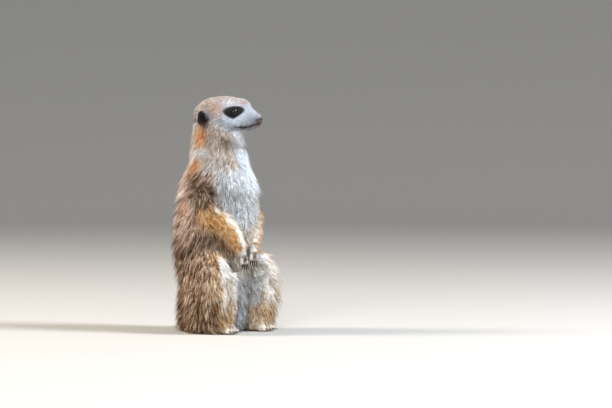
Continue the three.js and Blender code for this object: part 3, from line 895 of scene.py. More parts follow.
def trunk_marks(points, is_neck):
    """Pale breast, grizzled back with short dark bands, rust patches beside the neck; painted shade on the
    breast, under the arms, in the waist fold and in the creases of the neck.
    """
    left = folded(points, 0)
    height = points[:, 2]
    round_body = body_angle(points)
    from_axis = (points - middle("neck")) * [1, 1, 0]
    round_neck = np.degrees(np.arccos(np.clip(unit(from_axis) @ HEAD_AHEAD, -1, 1)))
    ragged = ripple(points, 5, 11) * 9 + ripple(points, 14, 12) * 7
    flank = step(44, 66, round_body + ragged + 10 * step(130, 90, height))
    patches = step(0.1, 0.7, ripple(points, 9, 13))
    stripes = np.sin(2 * math.pi * height / 16 + 1.6 * ripple(points, 20, 14))
    mottle = step(-0.5, 0.3, ripple(points, 4, 15))
    # Painted shade in the fold at the waist.
    fold = hump(height - 103 - ragged * 0.4, 5) * step(58, 74, round_body)
    # Painted shade in streaks on the sides of the neck.
    crease_shade = step(0.15, 0.6, ripple(points * [1, 1, 0.7], 3.2, 17)) * step(26, 44, round_neck)
    # Where the arms hang over the belly: painted shade, with brown streaks.
    under_arm_streaks_and_shade = step(9, 18, left[:, 0]) * step(132, 120, height) * step(58, 78, height)
    streaks = 0.7 + 0.3 * ripple(points * [1, 1, 3], 5, 16)
    return [
        ("breast", np.ones(len(points))),
        ("belly", step(152, 118, height + ragged * 0.5)),
        ("back", flank),
        ("rump", flank * step(135, 95, height)),
        ("rust", flank * 0.5 * patches * step(130, 160, height)),
        ("dark_band_and_fold_shade", 0.75 * step(0.35, 0.85, stripes) * step(95, 125, round_body) * step(190, 165, height)),
        ("shoulder", spot(left, (38, -16, 172), (15, 15, 21)) * (0.45 + 0.55 * mottle)),
        # painted shade between the legs
        ("inner_leg_painted_shade", 0.9 * step(84, 60, height) * step(56, 38, round_body)),
        # painted shade in the waist fold
        ("dark_band_and_fold_shade", 0.5 * fold),
        ("neck", is_neck * step(36, 54, round_neck + ragged)),
        ("nape", is_neck * step(105, 135, round_body + ragged)),
        ("nape", 0.8 * is_neck * step(226, 240, height) * step(24, 40, round_neck)),
        ("rust", 1.2 * spot(left, (28, 5, 236), (8, 8, 15)) * (0.75 + 0.25 * mottle)
         * step(0.2, 0.6, is_neck)),
        *spots(left, THROAT_SPOTS, mottle=mottle),
        ("grey_throat_and_crease_shade", 0.35 * crease_shade * is_neck * step(135, 110, round_neck)),
        *spots(left, SHOULDER_SPOTS, mottle=mottle),
        ("under_arm_streaks_and_shade", under_arm_streaks_and_shade * streaks * step(-4, -14, points[:, 1]) * step(84, 66, round_body)),
    ]


def limb_marks(points, normals, share):
    """Arms brown above and gold below with a pale inner edge painted bright as a lit rim; thighs grizzled
    outside and pale in front, with painted shade inside the legs and between the toes; pale paws and a tail
    with a dark tip."""
    out = normals[:, 0] * np.sign(points[:, 0])
    height = points[:, 2]
    ragged = ripple(points, 5, 21) * 0.2
    arm_inward = -out * 0.64 - normals[:, 1] * 0.77
    outward = out + 0.55 * np.maximum(normals[:, 1], 0)
    inner = step(0.05, 0.55, -out + ragged)
    thigh = share["thigh"]
    low_leg = np.maximum(share["shank"], thigh) * step(48, 22, height + ragged * 50)
    low_buff = (0.6 + 0.4 * step(-0.9, -0.2, outward)) * step(0.95, 0.6, outward)
    from_claws = nearest_of(points, HAND_CLAWS)
    return [
        ("shoulder", share["arm"]),
        ("gold", share["arm"] * step(158, 140, height + ragged * 30)),
        # pale fur on the inner front of the arms, painted bright as a lit rim
        ("pale_arm_edge_and_rim_light", share["arm"] * step(0.38, 0.68, arm_inward + ragged)),
        ("thigh_front", thigh),
        # painted shade inside the thighs
        ("inner_thigh_painted_shade", thigh * inner),
        ("buff", thigh * step(0.1, 0.5, outward + ragged)),
        ("thigh", thigh * step(0.58, 0.88, outward + ragged)),
        ("haunch_edge", 0.9 * thigh * step(-20, -34, points[:, 1] + ragged * 20) * step(0.2, 0.5, outward)),
        ("shank", share["shank"]),
        # painted shade inside the shanks
        ("inner_leg_painted_shade", 0.8 * share["shank"] * inner * step(22, 40, height)),
        ("buff", low_leg * low_buff),
        ("haunch_edge", 0.8 * low_leg * step(0.45, 0.0, outward)),
        ("rump", 0.95 * thigh * step(60, 32, height) * step(0.5, 0.8, outward)),
        ("paw", np.maximum(share["hand"], share["foot"])),
        ("collar", 0.45 * share["hand"]),
        # painted shade between the toes, and near the claws of the hands
        ("toe_groove_painted_shade", 0.9 * share["toes"]),
        ("toe_groove_painted_shade", 0.4 * share["hand"] * step(7.0, 3.5, from_claws)),
        ("tail", share["tail"]),
        ("tail_tip", share["tip"] * step(20, 45, points[:, 0])),
    ]


def eye_patch(at):
    """How dark the patch round an eye is, for points folded to one side: flat above, drawn down below."""
    ahead = at[:, 0] - 13.6
    above = at[:, 2] - 6.0 - 0.10 * ahead
    reach = np.where(ahead > 0, 11.0, 11.5)
    height = np.where(above > 0, 5.6, 9.4 - 0.35 * np.abs(ahead))
    rim = np.hypot(ahead / reach, above / height)
    return step(1.14, 0.88, rim) * step(6, 10, at[:, 1])


def head_marks(points, share):
    """Pale face, dark rings round the eyes, tan temples, dark lips and ears, and painted shade on the sides
    of the muzzle.
    """
    at = folded(head_place(points), 1)
    ahead = at[:, 0]
    high = at[:, 2]
    head = share["head"]
    ragged = ripple(points, 3.2, 31)
    mottle = 0.8 + 0.2 * ragged
    flecks = step(0.3, 0.7, ripple(points, 2.4, 33))
    patchy = 0.75 + 0.25 * ripple(points, 4, 34)
    pepper = step(0.3, 0.7, ripple(points, 1.6, 35))
    lips = patchy * hump(above_mouth(at) - 0.5, 3.0 + 0.9 * ragged) * step(5, 22, ahead)
    return [
        ("face", head),
        *spots(at, FACE_SPOTS, head, mottle),
        ("lip", head * 1.3 * lips),
        *spots(at, LIP_SPOTS, head),
        ("face_fleck", head * 0.35 * flecks * step(34, 28, ahead)),
        ("crown", head * 0.8 * step(14, 24, high + 3 * ragged) * step(20, 12, ahead)),
        ("nape", head * 0.85 * step(-8, -22, ahead + 4 * ragged)),
        ("pepper", head * 0.8 * pepper * step(14, 20, high)),
        ("eye_ring", head * eye_patch(at)),
        ("ear_fringe", head * 0.7 * spot(at, (-13.5, 23, 0), (2.2, 6, 6))),
        ("ear", share["ear"]),
        *spots(at, EAR_SPOTS),
        ("nape", 0.85 * share["ear"] * step(-28.2, -30.2, ahead + 0.5 * ragged)),
    ]


def mark_coat(skin):
    """The markings at each point of the skin, each laid over those before it."""
    points = skin["points"]
    share = {"toes": skin["toes"]}
    for group, (parts, rounds) in MARK_GROUPS.items():
        share[group] = diffused(on_parts(skin["owner"], parts), skin["edges"], rounds)
    marks = np.zeros((len(points), len(MARKING_ROWS["breast"])))
    for name, strength in (trunk_marks(points, share["neck"]) + limb_marks(points, skin["normals"], share)
                           + head_marks(points, share)):
        marks += (MARKING_ROWS[name] - marks) * np.clip(strength, 0, 1)[:, None]
    return marks


# ---------------------------------------------------------------- the coat

ROOT_DEPTH = 0.4  # mm that a lock starts under the skin
FLOOR_GAP = 0.3
PATCH = 0.003  # width of a lock's patch on the map that its colours are stored in
PATCH_GAP = 0.004
MOST_LOCKS = 19500
MOST_SPIKES = 48000
SHORT_PARTS = ("coat_head", "coat_ears", "coat_hands", "coat_feet")  # these grow short spikes

SWING_WAVES = 13  # degrees that locks swing out of the lie together, and each by itself
SWING_EACH = 9
MOST_LIFT = 44  # degrees
CLUMP_LIFT = 0.35  # how much more a pale clump lifts
TIP_LIFT = 0.4  # a lock's outer half lifts this much of what its root does
ROOT_SHARE = 0.45  # share of a lock's length before its bend
HALF_WIDTH = 0.78  # width at the bend
LONG_HAIRS = 0.2  # share of locks that are long, thin guard hairs, and what sets those apart
LONG_LENGTH = 1.65
LONG_WIDTH = 0.65
LONG_LIFT = 2.0
LONG_TIP_LIFT = 0.62

PAINTED_ROOT_SHADE = 0.36  # painted shadow: hairs are darker where they leave the skin, as if shaded by the locks over them
PALE_PAINTED_ROOT_SHADE = 0.66  # white hairs get much less of this painted shadow
# painted shadow at the roots of short spikes
SPIKE_PAINTED_ROOT_SHADE = 0.8
PAINTED_UNDERFUR_SHADE = 0.45  # painted shade: the mat between the locks is darker than they are, as if in their shadow
# less painted shade on the skin under short fur
PAINTED_SHORT_FUR_SHADE = 0.85
PALE_FUR_SHARE = 0.6  # how far the painted shade of the mat under white hair goes from the first to the second

LOCK_FACES = ((0, 1, 4, 3), (1, 2, 5, 4), (2, 0, 3, 5), (3, 4, 6), (4, 5, 6), (5, 3, 6), (2, 1, 0))
SPIKE_FACES = ((0, 1, 3), (1, 2, 3), (2, 0, 3), (2, 1, 0))
# A lock's three corners across, as shares of its width above the skin and to the side.
CORNERS = ((0.45, 0), (-0.25, 0.5), (-0.25, -0.5))
# Where its points lie on its patch of the map.
LOCK_PLACES = ((-1, -1), (0, -1), (1, -1), (-1, 0), (0, 0), (1, 0), (0, 1))
SPIKE_PLACES = ((-1, -1), (0, -1), (1, -1), (0, 1))

# Each piece of the coat: its slot, its nodes, its reach round and up the trunk, locks to a clump, and how far
# a clump draws them together.
COAT_PIECES = {
    "coat_head": ("face_coat", ("head", "lower_jaw"), None, 5, 0.5),
    "coat_ears": ("dark_coat", ("ear",), None, 5, 0.5),
    "coat_neck": ("body_coat", ("neck",), None, 9, 0.6),
    "coat_breast": ("body_coat", ("trunk",), (0, 66, 122, 400), 6, 0.45),
    "coat_belly": ("body_coat", ("trunk",), (0, 66, -10, 122), 5, 0.4),
    "coat_back_upper": ("body_coat", ("trunk",), (66, 181, 128, 400), 8, 0.68),
    "coat_back_lower": ("body_coat", ("trunk",), (66, 181, -10, 128), 8, 0.7),
    "coat_arms": ("body_coat", ("upper_arm", "forearm"), None, 6, 0.45),
    "coat_hands": ("pale_coat", ("hand",), None, 5, 0.5),
    "coat_thigh_left": ("body_coat", ("thigh_left",), None, 6, 0.55),
    "coat_thigh_right": ("body_coat", ("thigh_right",), None, 8, 0.7),
    "coat_shanks": ("pale_coat", ("shank",), None, 5, 0.4),
    "coat_feet": ("pale_coat", ("foot",), None, 5, 0.5),
    "coat_tail": ("body_coat", ("tail_base", "tail_middle", "tail_tip"), None, 7, 0.5),
}
HAIR_FINISHES = {  # each slot's material, roughness and sheen
    "body_coat": ("agouti_guard_hair", 0.6, 0.05),
    "pale_coat": ("short_pale_hair", 0.6, 0.1),
    "face_coat": ("short_face_hair", 0.6, 0.15),
    "dark_coat": ("black_ear_hair", 0.5, 0.05),
}
HAIRS_PER_METRE = 1400  # a change of shade every 0.7 mm
FUR_PER_METRE = 2000


def bare_share(skin, at, on_head):
    """1 where no hair grows: the lips, the nose, the soles and what touches the floor."""
    points = skin["points"]
    lips = on_head * step(0.9, 0.4, np.abs(above_mouth(at))) * step(15, 18, at[:, 0])
    bare = np.maximum(lips, step(5.6, 4.6, far_from(points, NOSE)))
    paws = on_parts(skin["owner"], ("hand", "foot"))
    soles = paws & (skin["normals"][:, 2] < -0.75) & (points[:, 2] < 4)
    return np.maximum(np.maximum(bare, soles), 0.9 * (points[:, 2] < 1.2))


def tune_growth(skin):
    """Thins, shortens and lifts the coat where the face, soles and outline ask for it."""
    points = skin["points"]
    owner = skin["owner"]
    at = folded(head_place(points), 1)
    on_head = on_parts(owner, ("head", "lower_jaw"))
    muzzle = step(12, 32, at[:, 0]) * on_head
    back_of_head = on_head * step(-8, -24, at[:, 0])
    cheeks = on_head * step(14, 20, at[:, 1]) * step(0, -10, at[:, 2]) * step(10, -5, at[:, 0])
    skin["dense"] *= 1 - bare_share(skin, at, on_head)
    skin["width"] *= 1 - 0.2 * muzzle
    skin["length"] *= 1 - 0.35 * muzzle
    skin["length"] *= 1 + 0.7 * back_of_head
    skin["length"] *= 1 - 0.4 * on_head * step(34, 39, at[:, 0])
    for way, eye in EYES.items():
        rim, facing, _ = lid_place(points, way)
        near = (facing > 0.1) & (far_from(points, eye) < 14)
        skin["dense"] *= 1 - near * step(1.4, 1.15, rim)
        skin["length"] *= 1 - 0.55 * near * step(2.4, 1.3, rim)
    skin["length"] *= 1 + 0.5 * cheeks
    skin["lift"] += 7 * muzzle
    skin["lift"] += 6 * back_of_head
    skin["lift"] += 18 * step(60, 80, body_angle(points)) * spot(points, (0, 0, 114), (999, 999, 12))
    left_thigh = on_parts(owner, ("thigh",)) * (points[:, 0] > 0)
    skin["lift"] += 9 * diffused(left_thigh * np.maximum(0, skin["normals"] @ FRONT), skin["edges"], 6)
    throat = on_parts(owner, ("neck",)) * step(0, 10, at[:, 0]) * step(-24, -32, at[:, 2])
    skin["lift"] *= 1 - 0.6 * diffused(throat, skin["edges"], 10)


def unwrapped(points, triangles):
    """A flat map of a patch of skin, opened along its own shape: two numbers for each triangle's corners."""
    used, corners = np.unique(triangles, return_inverse=True)
    patch = mesh_object("patch", points[used] * MM, corners.reshape(-1, 3))
    mesh = patch.data
    bpy.context.view_layer.objects.active = patch
    patch.select_set(True)
    bpy.ops.object.mode_set(mode="EDIT")
    bpy.ops.mesh.select_all(action="SELECT")
    bpy.ops.uv.smart_project(angle_limit=math.radians(72), island_margin=PATCH_GAP)
    bpy.ops.object.mode_set(mode="OBJECT")
    flat = read(mesh.uv_layers.active.data, "uv", 2)
    bpy.data.objects.remove(patch)
    bpy.data.meshes.remove(mesh)
    return flat.reshape(-1, 3, 2)


def scatter(skin, triangles, most, rng):
    """Roots spread over some triangles by how dense the coat is: each one's triangle and place in it."""
    corners = skin["points"][triangles]
    area = np.linalg.norm(np.cross(corners[:, 1] - corners[:, 0], corners[:, 2] - corners[:, 0]), axis=1) / 2
    wanted = np.cumsum(area * skin["dense"][triangles].mean(1))
    count = min(int(wanted[-1]), most)
    picks = np.searchsorted(wanted, (np.arange(count) + rng.random(count)) / count * wanted[-1])
    picks = np.minimum(picks, len(triangles) - 1)
    a = np.sqrt(rng.random(count))
    b = rng.random(count)
    return picks, np.stack([1 - a, a * (1 - b), a * b], 1)


def at_roots(field, corners, weights):
    """A field of the skin read at each root, from the three corners of its triangle."""
    values = field[corners]
    return (values * (weights[..., None] if values.ndim == 3 else weights)).sum(1)


def turned(way, towards, angle):
    """A way turned by an angle towards another that is square to it."""
    return way * np.cos(angle)[:, None] + towards * np.sin(angle)[:, None]


def nearest_clump(roots, centres):
    """The number of the clump centre nearest to each root."""
    tree = tree_of(centres)
    return np.array([tree.find(root)[1] for root in roots])


def lock_colours(marks, mood, short):
    """The colours of each lock's points, with painted shadow at the root. Mood runs from -1, a dark lock, to
    1, a pale one.
    """
    middle_colour, pale, dark = marks[:, 0:3], marks[:, 3:6], marks[:, 6:9]
    dark_from = -1 + 2 * marks[:, 9]
    pale_from = 1 - 2 * marks[:, 10]
    tip = blend(middle_colour, dark, step(dark_from + 0.15, dark_from - 0.15, mood)[:, None])
    tip = blend(tip, pale, step(pale_from - 0.15, pale_from + 0.15, mood)[:, None])
    half = blend(middle_colour, tip, 0.75)
    # Painted shadow: the root is darker than the rest of the lock, least for white hair.
    if short:
        return np.stack([half * SPIKE_PAINTED_ROOT_SHADE] * 3 + [tip], 1)
    brightness = step(0.35, 0.75, middle_colour.mean(1))[:, None]
    root = middle_colour * blend(PAINTED_ROOT_SHADE, PALE_PAINTED_ROOT_SHADE, brightness)
    return np.stack([root] * 3 + [half] * 3 + [tip], 1)


def grow(name, skin, triangles, clump_size, draw, seed):
    """One piece of the coat: tapered locks, bent down along the lie of the hair and drawn into clumps."""
    rng = np.random.default_rng(seed)
    short = name in SHORT_PARTS
    picks, weights = scatter(skin, triangles, MOST_SPIKES if short else MOST_LOCKS, rng)
    here = {field: at_roots(skin[field], triangles[picks], weights)
            for field in ("points", "normals", "lie", "length", "width", "lift", "marks")}
    roots = here["points"]
    count = len(roots)
    normals = unit(here["normals"])
    lie = laid_flat(here["lie"], normals)
    swing = np.radians(SWING_WAVES * ripple(roots, 9, 41) + SWING_EACH * rng.normal(size=count))
    lie = turned(lie, np.cross(normals, lie), swing)
    long = rng.random(count) < (0 if short else LONG_HAIRS)
    centres = rng.choice(count, max(8, count // clump_size), replace=False)
    clump = nearest_clump(roots, roots[centres])
    clump_mood = rng.uniform(-1, 1, len(centres))[clump]
    length = here["length"] * rng.uniform(0.7, 1.2, count) * np.where(long, LONG_LENGTH, 1.0)
    width = here["width"] * rng.uniform(0.75, 1.25, count) * np.where(long, LONG_WIDTH, 1.0)
    lift = here["lift"] * rng.uniform(0.5, 1.3, count) * np.where(long, LONG_LIFT, 1.0)
    lift = np.radians(np.minimum(lift * (1 + CLUMP_LIFT * clump_mood), MOST_LIFT))
    out = turned(lie, normals, lift)
    bent = turned(lie, normals, lift * np.where(long, LONG_TIP_LIFT, TIP_LIFT))
    base = roots - normals * ROOT_DEPTH
    half = base + out * (length * ROOT_SHARE)[:, None]
    tips = half + bent * (length * (1 - ROOT_SHARE))[:, None]
    leaders = centres[clump]
    pull = (draw * rng.uniform(0.5, 1, count) * ~long)[:, None]
    tips += (tips[leaders] - tips) * pull
    half += (half[leaders] - half) * pull * 0.3
    edge = unit(np.cross(out, normals))
    above = np.cross(edge, out)
    spread = np.stack([above * up + edge * side for up, side in CORNERS], 1) * width[:, None, None]
    rings = [base[:, None] + spread] + ([] if short else [half[:, None] + spread * HALF_WIDTH])
    verts = np.concatenate(rings + [tips[:, None]], 1)
    verts[..., 2] = np.maximum(verts[..., 2], FLOOR_GAP)
    mood = np.clip(0.75 * clump_mood + 0.55 * rng.uniform(-1, 1, count), -1, 1)
    colours = lock_colours(here["marks"], mood, short)
    flat = (unwrapped(skin["points"], triangles)[picks] * weights[..., None]).sum(1)
    places = flat[:, None] + np.array(SPIKE_PLACES if short else LOCK_PLACES) * PATCH / 2
    return coat_mesh(name, verts, colours, places, SPIKE_FACES if short else LOCK_FACES)


def set_colours(mesh, colours):
    layer = mesh.attributes.new("hair_colour", "FLOAT_COLOR", "POINT")
    rgba = np.ones((len(colours), 4), np.float32)
    rgba[:, :3] = np.clip(colours, 0, 1)
    layer.data.foreach_set("color", rgba.ravel())


def coat_mesh(name, verts, colours, places, faces):
    """Many copies of one small closed shape as one mesh, with its colours and its map."""
    count, per_lock = verts.shape[:2]
    loops = np.concatenate([np.array(face) for face in faces])
    all_loops = (loops + np.arange(count)[:, None] * per_lock).ravel()
    all_sizes = np.tile([len(face) for face in faces], count)
    mesh = bpy.data.meshes.new(name)
    mesh.vertices.add(count * per_lock)
    mesh.vertices.foreach_set("co", (verts * MM).astype(np.float32).ravel())
    mesh.loops.add(len(all_loops))
    mesh.loops.foreach_set("vertex_index", all_loops.astype(np.int32))
    mesh.polygons.add(len(all_sizes))
    mesh.polygons.foreach_set("loop_start", (np.cumsum(all_sizes) - all_sizes).astype(np.int32))
    shade_smooth(mesh)
    mesh.update(calc_edges=True)
    set_colours(mesh, colours.reshape(-1, 3))
    layer = mesh.uv_layers.new(name="OFBake")
    layer.data.foreach_set("uv", places.reshape(-1, 2)[all_loops].astype(np.float32).ravel())
    return put_in_scene(name, mesh)


def coat_triangles(skin, parts, reach):
    """The triangles of skin that a piece of the coat grows from."""
    triangles = skin["triangles"]
    chosen = on_parts(skin["owner"][triangles[:, 0]], parts)
    if reach:
        from_angle, to_angle, low, high = reach
        centre = skin["points"][triangles].mean(1)
        angle = body_angle(centre)
        chosen &= (angle >= from_angle) & (angle < to_angle) & (centre[:, 2] >= low) & (centre[:, 2] < high)
    return triangles[chosen]


def hair_material(name, roughness, sheen):
    """Keratin hair: a satin gloss along each lock, darker and lighter hairs side by side in it."""
    material = new_material(name)
    colour = add_node(material, "ShaderNodeAttribute", attribute_name="hair_colour")
    place = add_node(material, "ShaderNodeTexCoord")
    hairs = add_node(material, "ShaderNodeTexNoise", {"Scale": HAIRS_PER_METRE, "Detail": 2.0},
                     {"Vector": place.outputs["Object"]})
    mixed = shaded(material, colour.outputs["Color"], hairs.outputs["Fac"], 0.86, 1.1)
    hair = add_node(material, "ShaderNodeBsdfPrincipled",
                    {"Roughness": roughness, "IOR": 1.55, "Specular IOR Level": 0.2, "Sheen Weight": sheen,
                     "Sheen Roughness": 0.4},
                    {"Base Color": mixed})
    return finish_material(material, hair)


def skin_material():
    """Thin skin with a mat of short fur lying on it, fine ridges along the head. Its colour holds painted
    shade from the locks above it.
    """
    material = new_material("skin_and_underfur")
    colour = add_node(material, "ShaderNodeAttribute", attribute_name="hair_colour")
    place = add_node(material, "ShaderNodeTexCoord")
    head_turn = math.atan2(HEAD_AHEAD[1], HEAD_AHEAD[0])
    along_head = add_node(material, "ShaderNodeMapping",
                          {"Rotation": (0, 0, head_turn), "Scale": (3, 1, 1)},
                          {"Vector": place.outputs["Object"]}, vector_type="TEXTURE")
    fur = add_node(material, "ShaderNodeTexNoise", {"Scale": FUR_PER_METRE, "Detail": 3.0},
                   {"Vector": along_head.outputs["Vector"]})
    raised = add_node(material, "ShaderNodeBump", {"Strength": 0.9, "Distance": 0.0007},
                      {"Height": fur.outputs["Fac"]})
    mixed = shaded(material, colour.outputs["Color"], fur.outputs["Fac"], 0.66, 1.16)
    skin = add_node(material, "ShaderNodeBsdfPrincipled", {"Roughness": 0.7, "Specular IOR Level": 0.25},
                    {"Base Color": mixed, "Normal": raised.outputs["Normal"]})
    return finish_material(material, skin)


# ---------------------------------------------------------------- eyes, nose, claws and whiskers

IRIS_RADIUS = 3.7
PUPIL_LONG = 2.0  # the pupil is a level oval
PUPIL_HIGH = 1.3
EYE_SIDES = 48

NOSE_RADII = (4.2, 5.0, 4.5)
NOSE_LIFT = 0.9
NOSE_SIDES = 64
NOSE_RINGS = 48

CLAW_RINGS = 12
CLAW_SIDES = 12
CLAW_WIDTH = 0.58  # a claw's width as a share of its height
CLAW_ARCH = 0.10

WHISKERS_EACH_SIDE = 8
BROW_WHISKERS = 2
WHISKER_THICK = 0.17
WHISKER_LENGTHS = (9, 17)
WHISKER_STEPS = 6
WHISKER_CORNERS = (0, 2.094, 4.189)
PAD_RADII = (5.0, 3.4)  # the patch that whiskers grow from, along the muzzle and up it


def round_turn(sides):
    """Angles evenly round a circle, each once."""
    return np.linspace(0, 2 * math.pi, sides + 1)[:-1]


def circle(turns, one, other):
    """Points round a circle, or an oval, with these two ways as its radii."""
    return np.cos(turns)[:, None] * one + np.sin(turns)[:, None] * other


def eye_material():
    """A wet eyeball: clear cornea gloss over a dark brown iris with fine spokes and a level oval pupil."""
    material = new_material("wet_eye")
    place = add_node(material, "ShaderNodeAttribute", attribute_name="iris_place").outputs["Vector"]
    reach = add_node(material, "ShaderNodeVectorMath", None, {0: place}, operation="LENGTH")
    pupil = add_node(material, "ShaderNodeVectorMath", {1: (1 / PUPIL_LONG, 1 / PUPIL_HIGH, 0)}, {0: place},
                     operation="MULTIPLY")
    pupil_reach = add_node(material, "ShaderNodeVectorMath", None, {0: pupil.outputs["Vector"]},
                           operation="LENGTH")
    spokes = add_node(material, "ShaderNodeTexNoise", {"Scale": 2.2, "Detail": 4.0}, {"Vector": place})
    iris = add_node(material, "ShaderNodeMix", {MIX_A: linear("#120C09"), MIX_B: linear("#261811")},
                    {0: spokes.outputs["Fac"]}, data_type="RGBA")
    open_share = add_node(material, "ShaderNodeMapRange", {"From Min": 0.9, "From Max": 1.1},
                          {"Value": pupil_reach.outputs["Value"]}, interpolation_type="SMOOTHSTEP")
    with_pupil = add_node(material, "ShaderNodeMix", {MIX_A: linear("#0A0807")},
                          {0: open_share.outputs["Result"], MIX_B: iris.outputs[MIX_RESULT]},
                          data_type="RGBA")
    edge = add_node(material, "ShaderNodeMapRange", {"From Min": IRIS_RADIUS - 0.5, "From Max": IRIS_RADIUS},
                    {"Value": reach.outputs["Value"]}, interpolation_type="SMOOTHSTEP")
    whole = add_node(material, "ShaderNodeMix", {MIX_B: linear("#120D0B")},
                     {0: edge.outputs["Result"], MIX_A: with_pupil.outputs[MIX_RESULT]}, data_type="RGBA")
    eye = add_node(material, "ShaderNodeBsdfPrincipled",
                   {"Roughness": 0.3, "IOR": 1.38, "Specular IOR Level": 0.2, "Coat Weight": 0.5,
                    "Coat Roughness": 0.04},
                   {"Base Color": whole.outputs[MIX_RESULT]})
    return finish_material(material, eye)


def make_eye(side, way, material):
    """An eyeball with a low dome of cornea over the iris."""
    centre, gaze, long_way, high_way = eye_axes(way)
    rim = circle(round_turn(EYE_SIDES), long_way, high_way)
    rings = []
    for tilt in np.radians(np.concatenate([np.linspace(1, 60, 26), np.linspace(66, 178, 16)])):
        radius = EYE_RADIUS * (0.965 + 0.045 * math.exp(-(tilt / 0.6) ** 2))
        rings.append(centre + radius * (math.cos(tilt) * gaze + math.sin(tilt) * rim))
    if way < 0:
        rings = [ring[::-1] for ring in rings]
    eye = loft(f"eyeball_{side}", rings, material)
    away = points_of(eye.data) - centre
    flat = np.stack([away @ long_way, away @ high_way, np.zeros(len(away))], 1)
    flat += np.where((away @ gaze)[:, None] < 0, [IRIS_RADIUS * 4, 0, 0], [0, 0, 0])
    layer = eye.data.attributes.new("iris_place", "FLOAT_VECTOR", "POINT")
    layer.data.foreach_set("vector", flat.astype(np.float32).ravel())
    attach(eye, "root")
    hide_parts(f"eye_{side}")


def nose_material():
    """Damp bare leather, dark brown with pinker sides, pebbled at about a third of a millimetre."""
    material = new_material("damp_nose_leather")
    place = add_node(material, "ShaderNodeTexCoord").outputs["Object"]
    pebbles = add_node(material, "ShaderNodeTexVoronoi", {"Scale": 2600}, {"Vector": place})
    blotch = add_node(material, "ShaderNodeTexNoise", {"Scale": 420, "Detail": 2.0}, {"Vector": place})
    tint = add_node(material, "ShaderNodeAttribute", attribute_name="hair_colour")
    mixed = shaded(material, tint.outputs["Color"], blotch.outputs["Fac"], 0.75, 1.2)
    raised = add_node(material, "ShaderNodeBump", {"Strength": 0.5, "Distance": 0.0002},
                      {"Height": pebbles.outputs["Distance"]})
    leather = add_node(material, "ShaderNodeBsdfPrincipled",
                       {"Roughness": 0.42, "IOR": 1.45, "Coat Weight": 0.35, "Coat Roughness": 0.2},
                       {"Base Color": mixed, "Normal": raised.outputs["Normal"]})
    return finish_material(material, leather)


def make_nose():
    """A rounded pad with comma-shaped nostrils open to the sides and a groove down the middle."""
    rim = circle(round_turn(NOSE_SIDES), np.array([0, 1, 0]), np.array([0, 0, 1]))
    tilts = np.radians(np.linspace(1.5, 178.5, NOSE_RINGS))[:, None, None]
    ball = np.cos(tilts) * np.array([1, 0, 0]) + np.sin(tilts) * rim
    round_face = 4 * np.arctan2(ball[..., 2], ball[..., 1])
    squared = 1 + 0.06 * np.cos(round_face + math.pi) * (1 - ball[..., 0] ** 2)
    local = ball * np.array(NOSE_RADII) * squared[..., None]
    aside = np.abs(local[..., 1])
    face_on = np.stack([aside, local[..., 2]], -1)
    pit = spot(face_on, (2.1, 0.1), (0.85, 0.8))
    tail = spot(face_on, (3.4, -0.7), (1.0, 0.4))
    groove = hump(aside, 0.4) * step(1.2, -0.6, local[..., 2])
    front = step(-0.3, 0.3, ball[..., 0])
    local = local - unit(local) * ((1.7 * pit + 0.9 * tail + 0.4 * groove) * front)[..., None]
    ahead, left, up = (local[..., axis:axis + 1] for axis in range(3))
    nose = loft("nose_pad", list(NOSE + NOSE_LIFT * UP + ahead * HEAD_AHEAD + left * HEAD_LEFT + up * UP),
                nose_material())
    dark, pink, nostril_shade = (np.array(linear(colour)[:3]) for colour in ("#272021", "#5E4845", "#120D0C"))
    colours = blend(dark, pink, step(3.2, 5.0, aside.ravel())[:, None])
    # Painted shade: the nostril pits are near black.
    colours = blend(colours, nostril_shade, np.clip(1.3 * (pit + tail) * front, 0, 1).ravel()[:, None])
    set_colours(nose.data, np.concatenate([colours, [dark, dark]]))
    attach(nose, "root")
    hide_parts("nose")


def horn_material(name, dark, pale, streaks_per_metre, roughness):
    """Horn or bristle: brown, smooth, with faint streaks."""
    material = new_material(name)
    place = add_node(material, "ShaderNodeTexCoord")
    streaks = add_node(material, "ShaderNodeTexNoise", {"Scale": streaks_per_metre, "Detail": 2.0},
                       {"Vector": place.outputs["Object"]})
    colour = add_node(material, "ShaderNodeMix", {MIX_A: linear(dark), MIX_B: linear(pale)},
                      {0: streaks.outputs["Fac"]}, data_type="RGBA")
    horn = add_node(material, "ShaderNodeBsdfPrincipled", {"Roughness": roughness, "IOR": 1.55},
                    {"Base Color": colour.outputs[MIX_RESULT]})
    return finish_material(material, horn)


def claw_rings(node, way_out):
    """A claw's rings: narrow, deeper than wide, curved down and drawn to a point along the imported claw."""
    points = points_of(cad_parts[node].data)
    centre = points.mean(0)
    spread = np.linalg.svd(points - centre)[2][0]
    along = spread * np.sign(spread @ way_out)
    reach = (points - centre) @ along
    start = centre + along * reach.min()
    length = reach.max() - reach.min()
    radius = np.percentile(np.linalg.norm(points - centre - reach[:, None] * along, axis=1), 80)
    upright = abs(along[2]) > 0.8
    side = unit(np.cross(along, FRONT if upright else UP))
    hollow = np.cross(side, along)
    bend = CLAW_ARCH * length * (1 if hollow[2] > 0 or upright else -1)
    rings = []
    for share in np.linspace(0, 1, CLAW_RINGS):
        thick = radius * max(0.05, (1 - share ** 1.4))
        on_line = start + along * length * share + hollow * bend * math.sin(math.pi * share)
        rings.append(on_line + circle(round_turn(CLAW_SIDES), side * thick * CLAW_WIDTH, hollow * thick))
    return rings


def make_claws(material):
    """Four claws to each paw, as one piece for each paw."""
    for paw, way_out in (("hand", -UP), ("foot", FRONT)):
        for side in SIDES:
            nodes = [f"{paw}_claw_{side}_{number}" for number in DIGITS]
            claws = [loft(f"{node}_horn", claw_rings(node, way_out)) for node in nodes]
            made = joined(f"claws_{paw}_{side}", claws, material)
            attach(made, "root")
            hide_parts(*nodes)


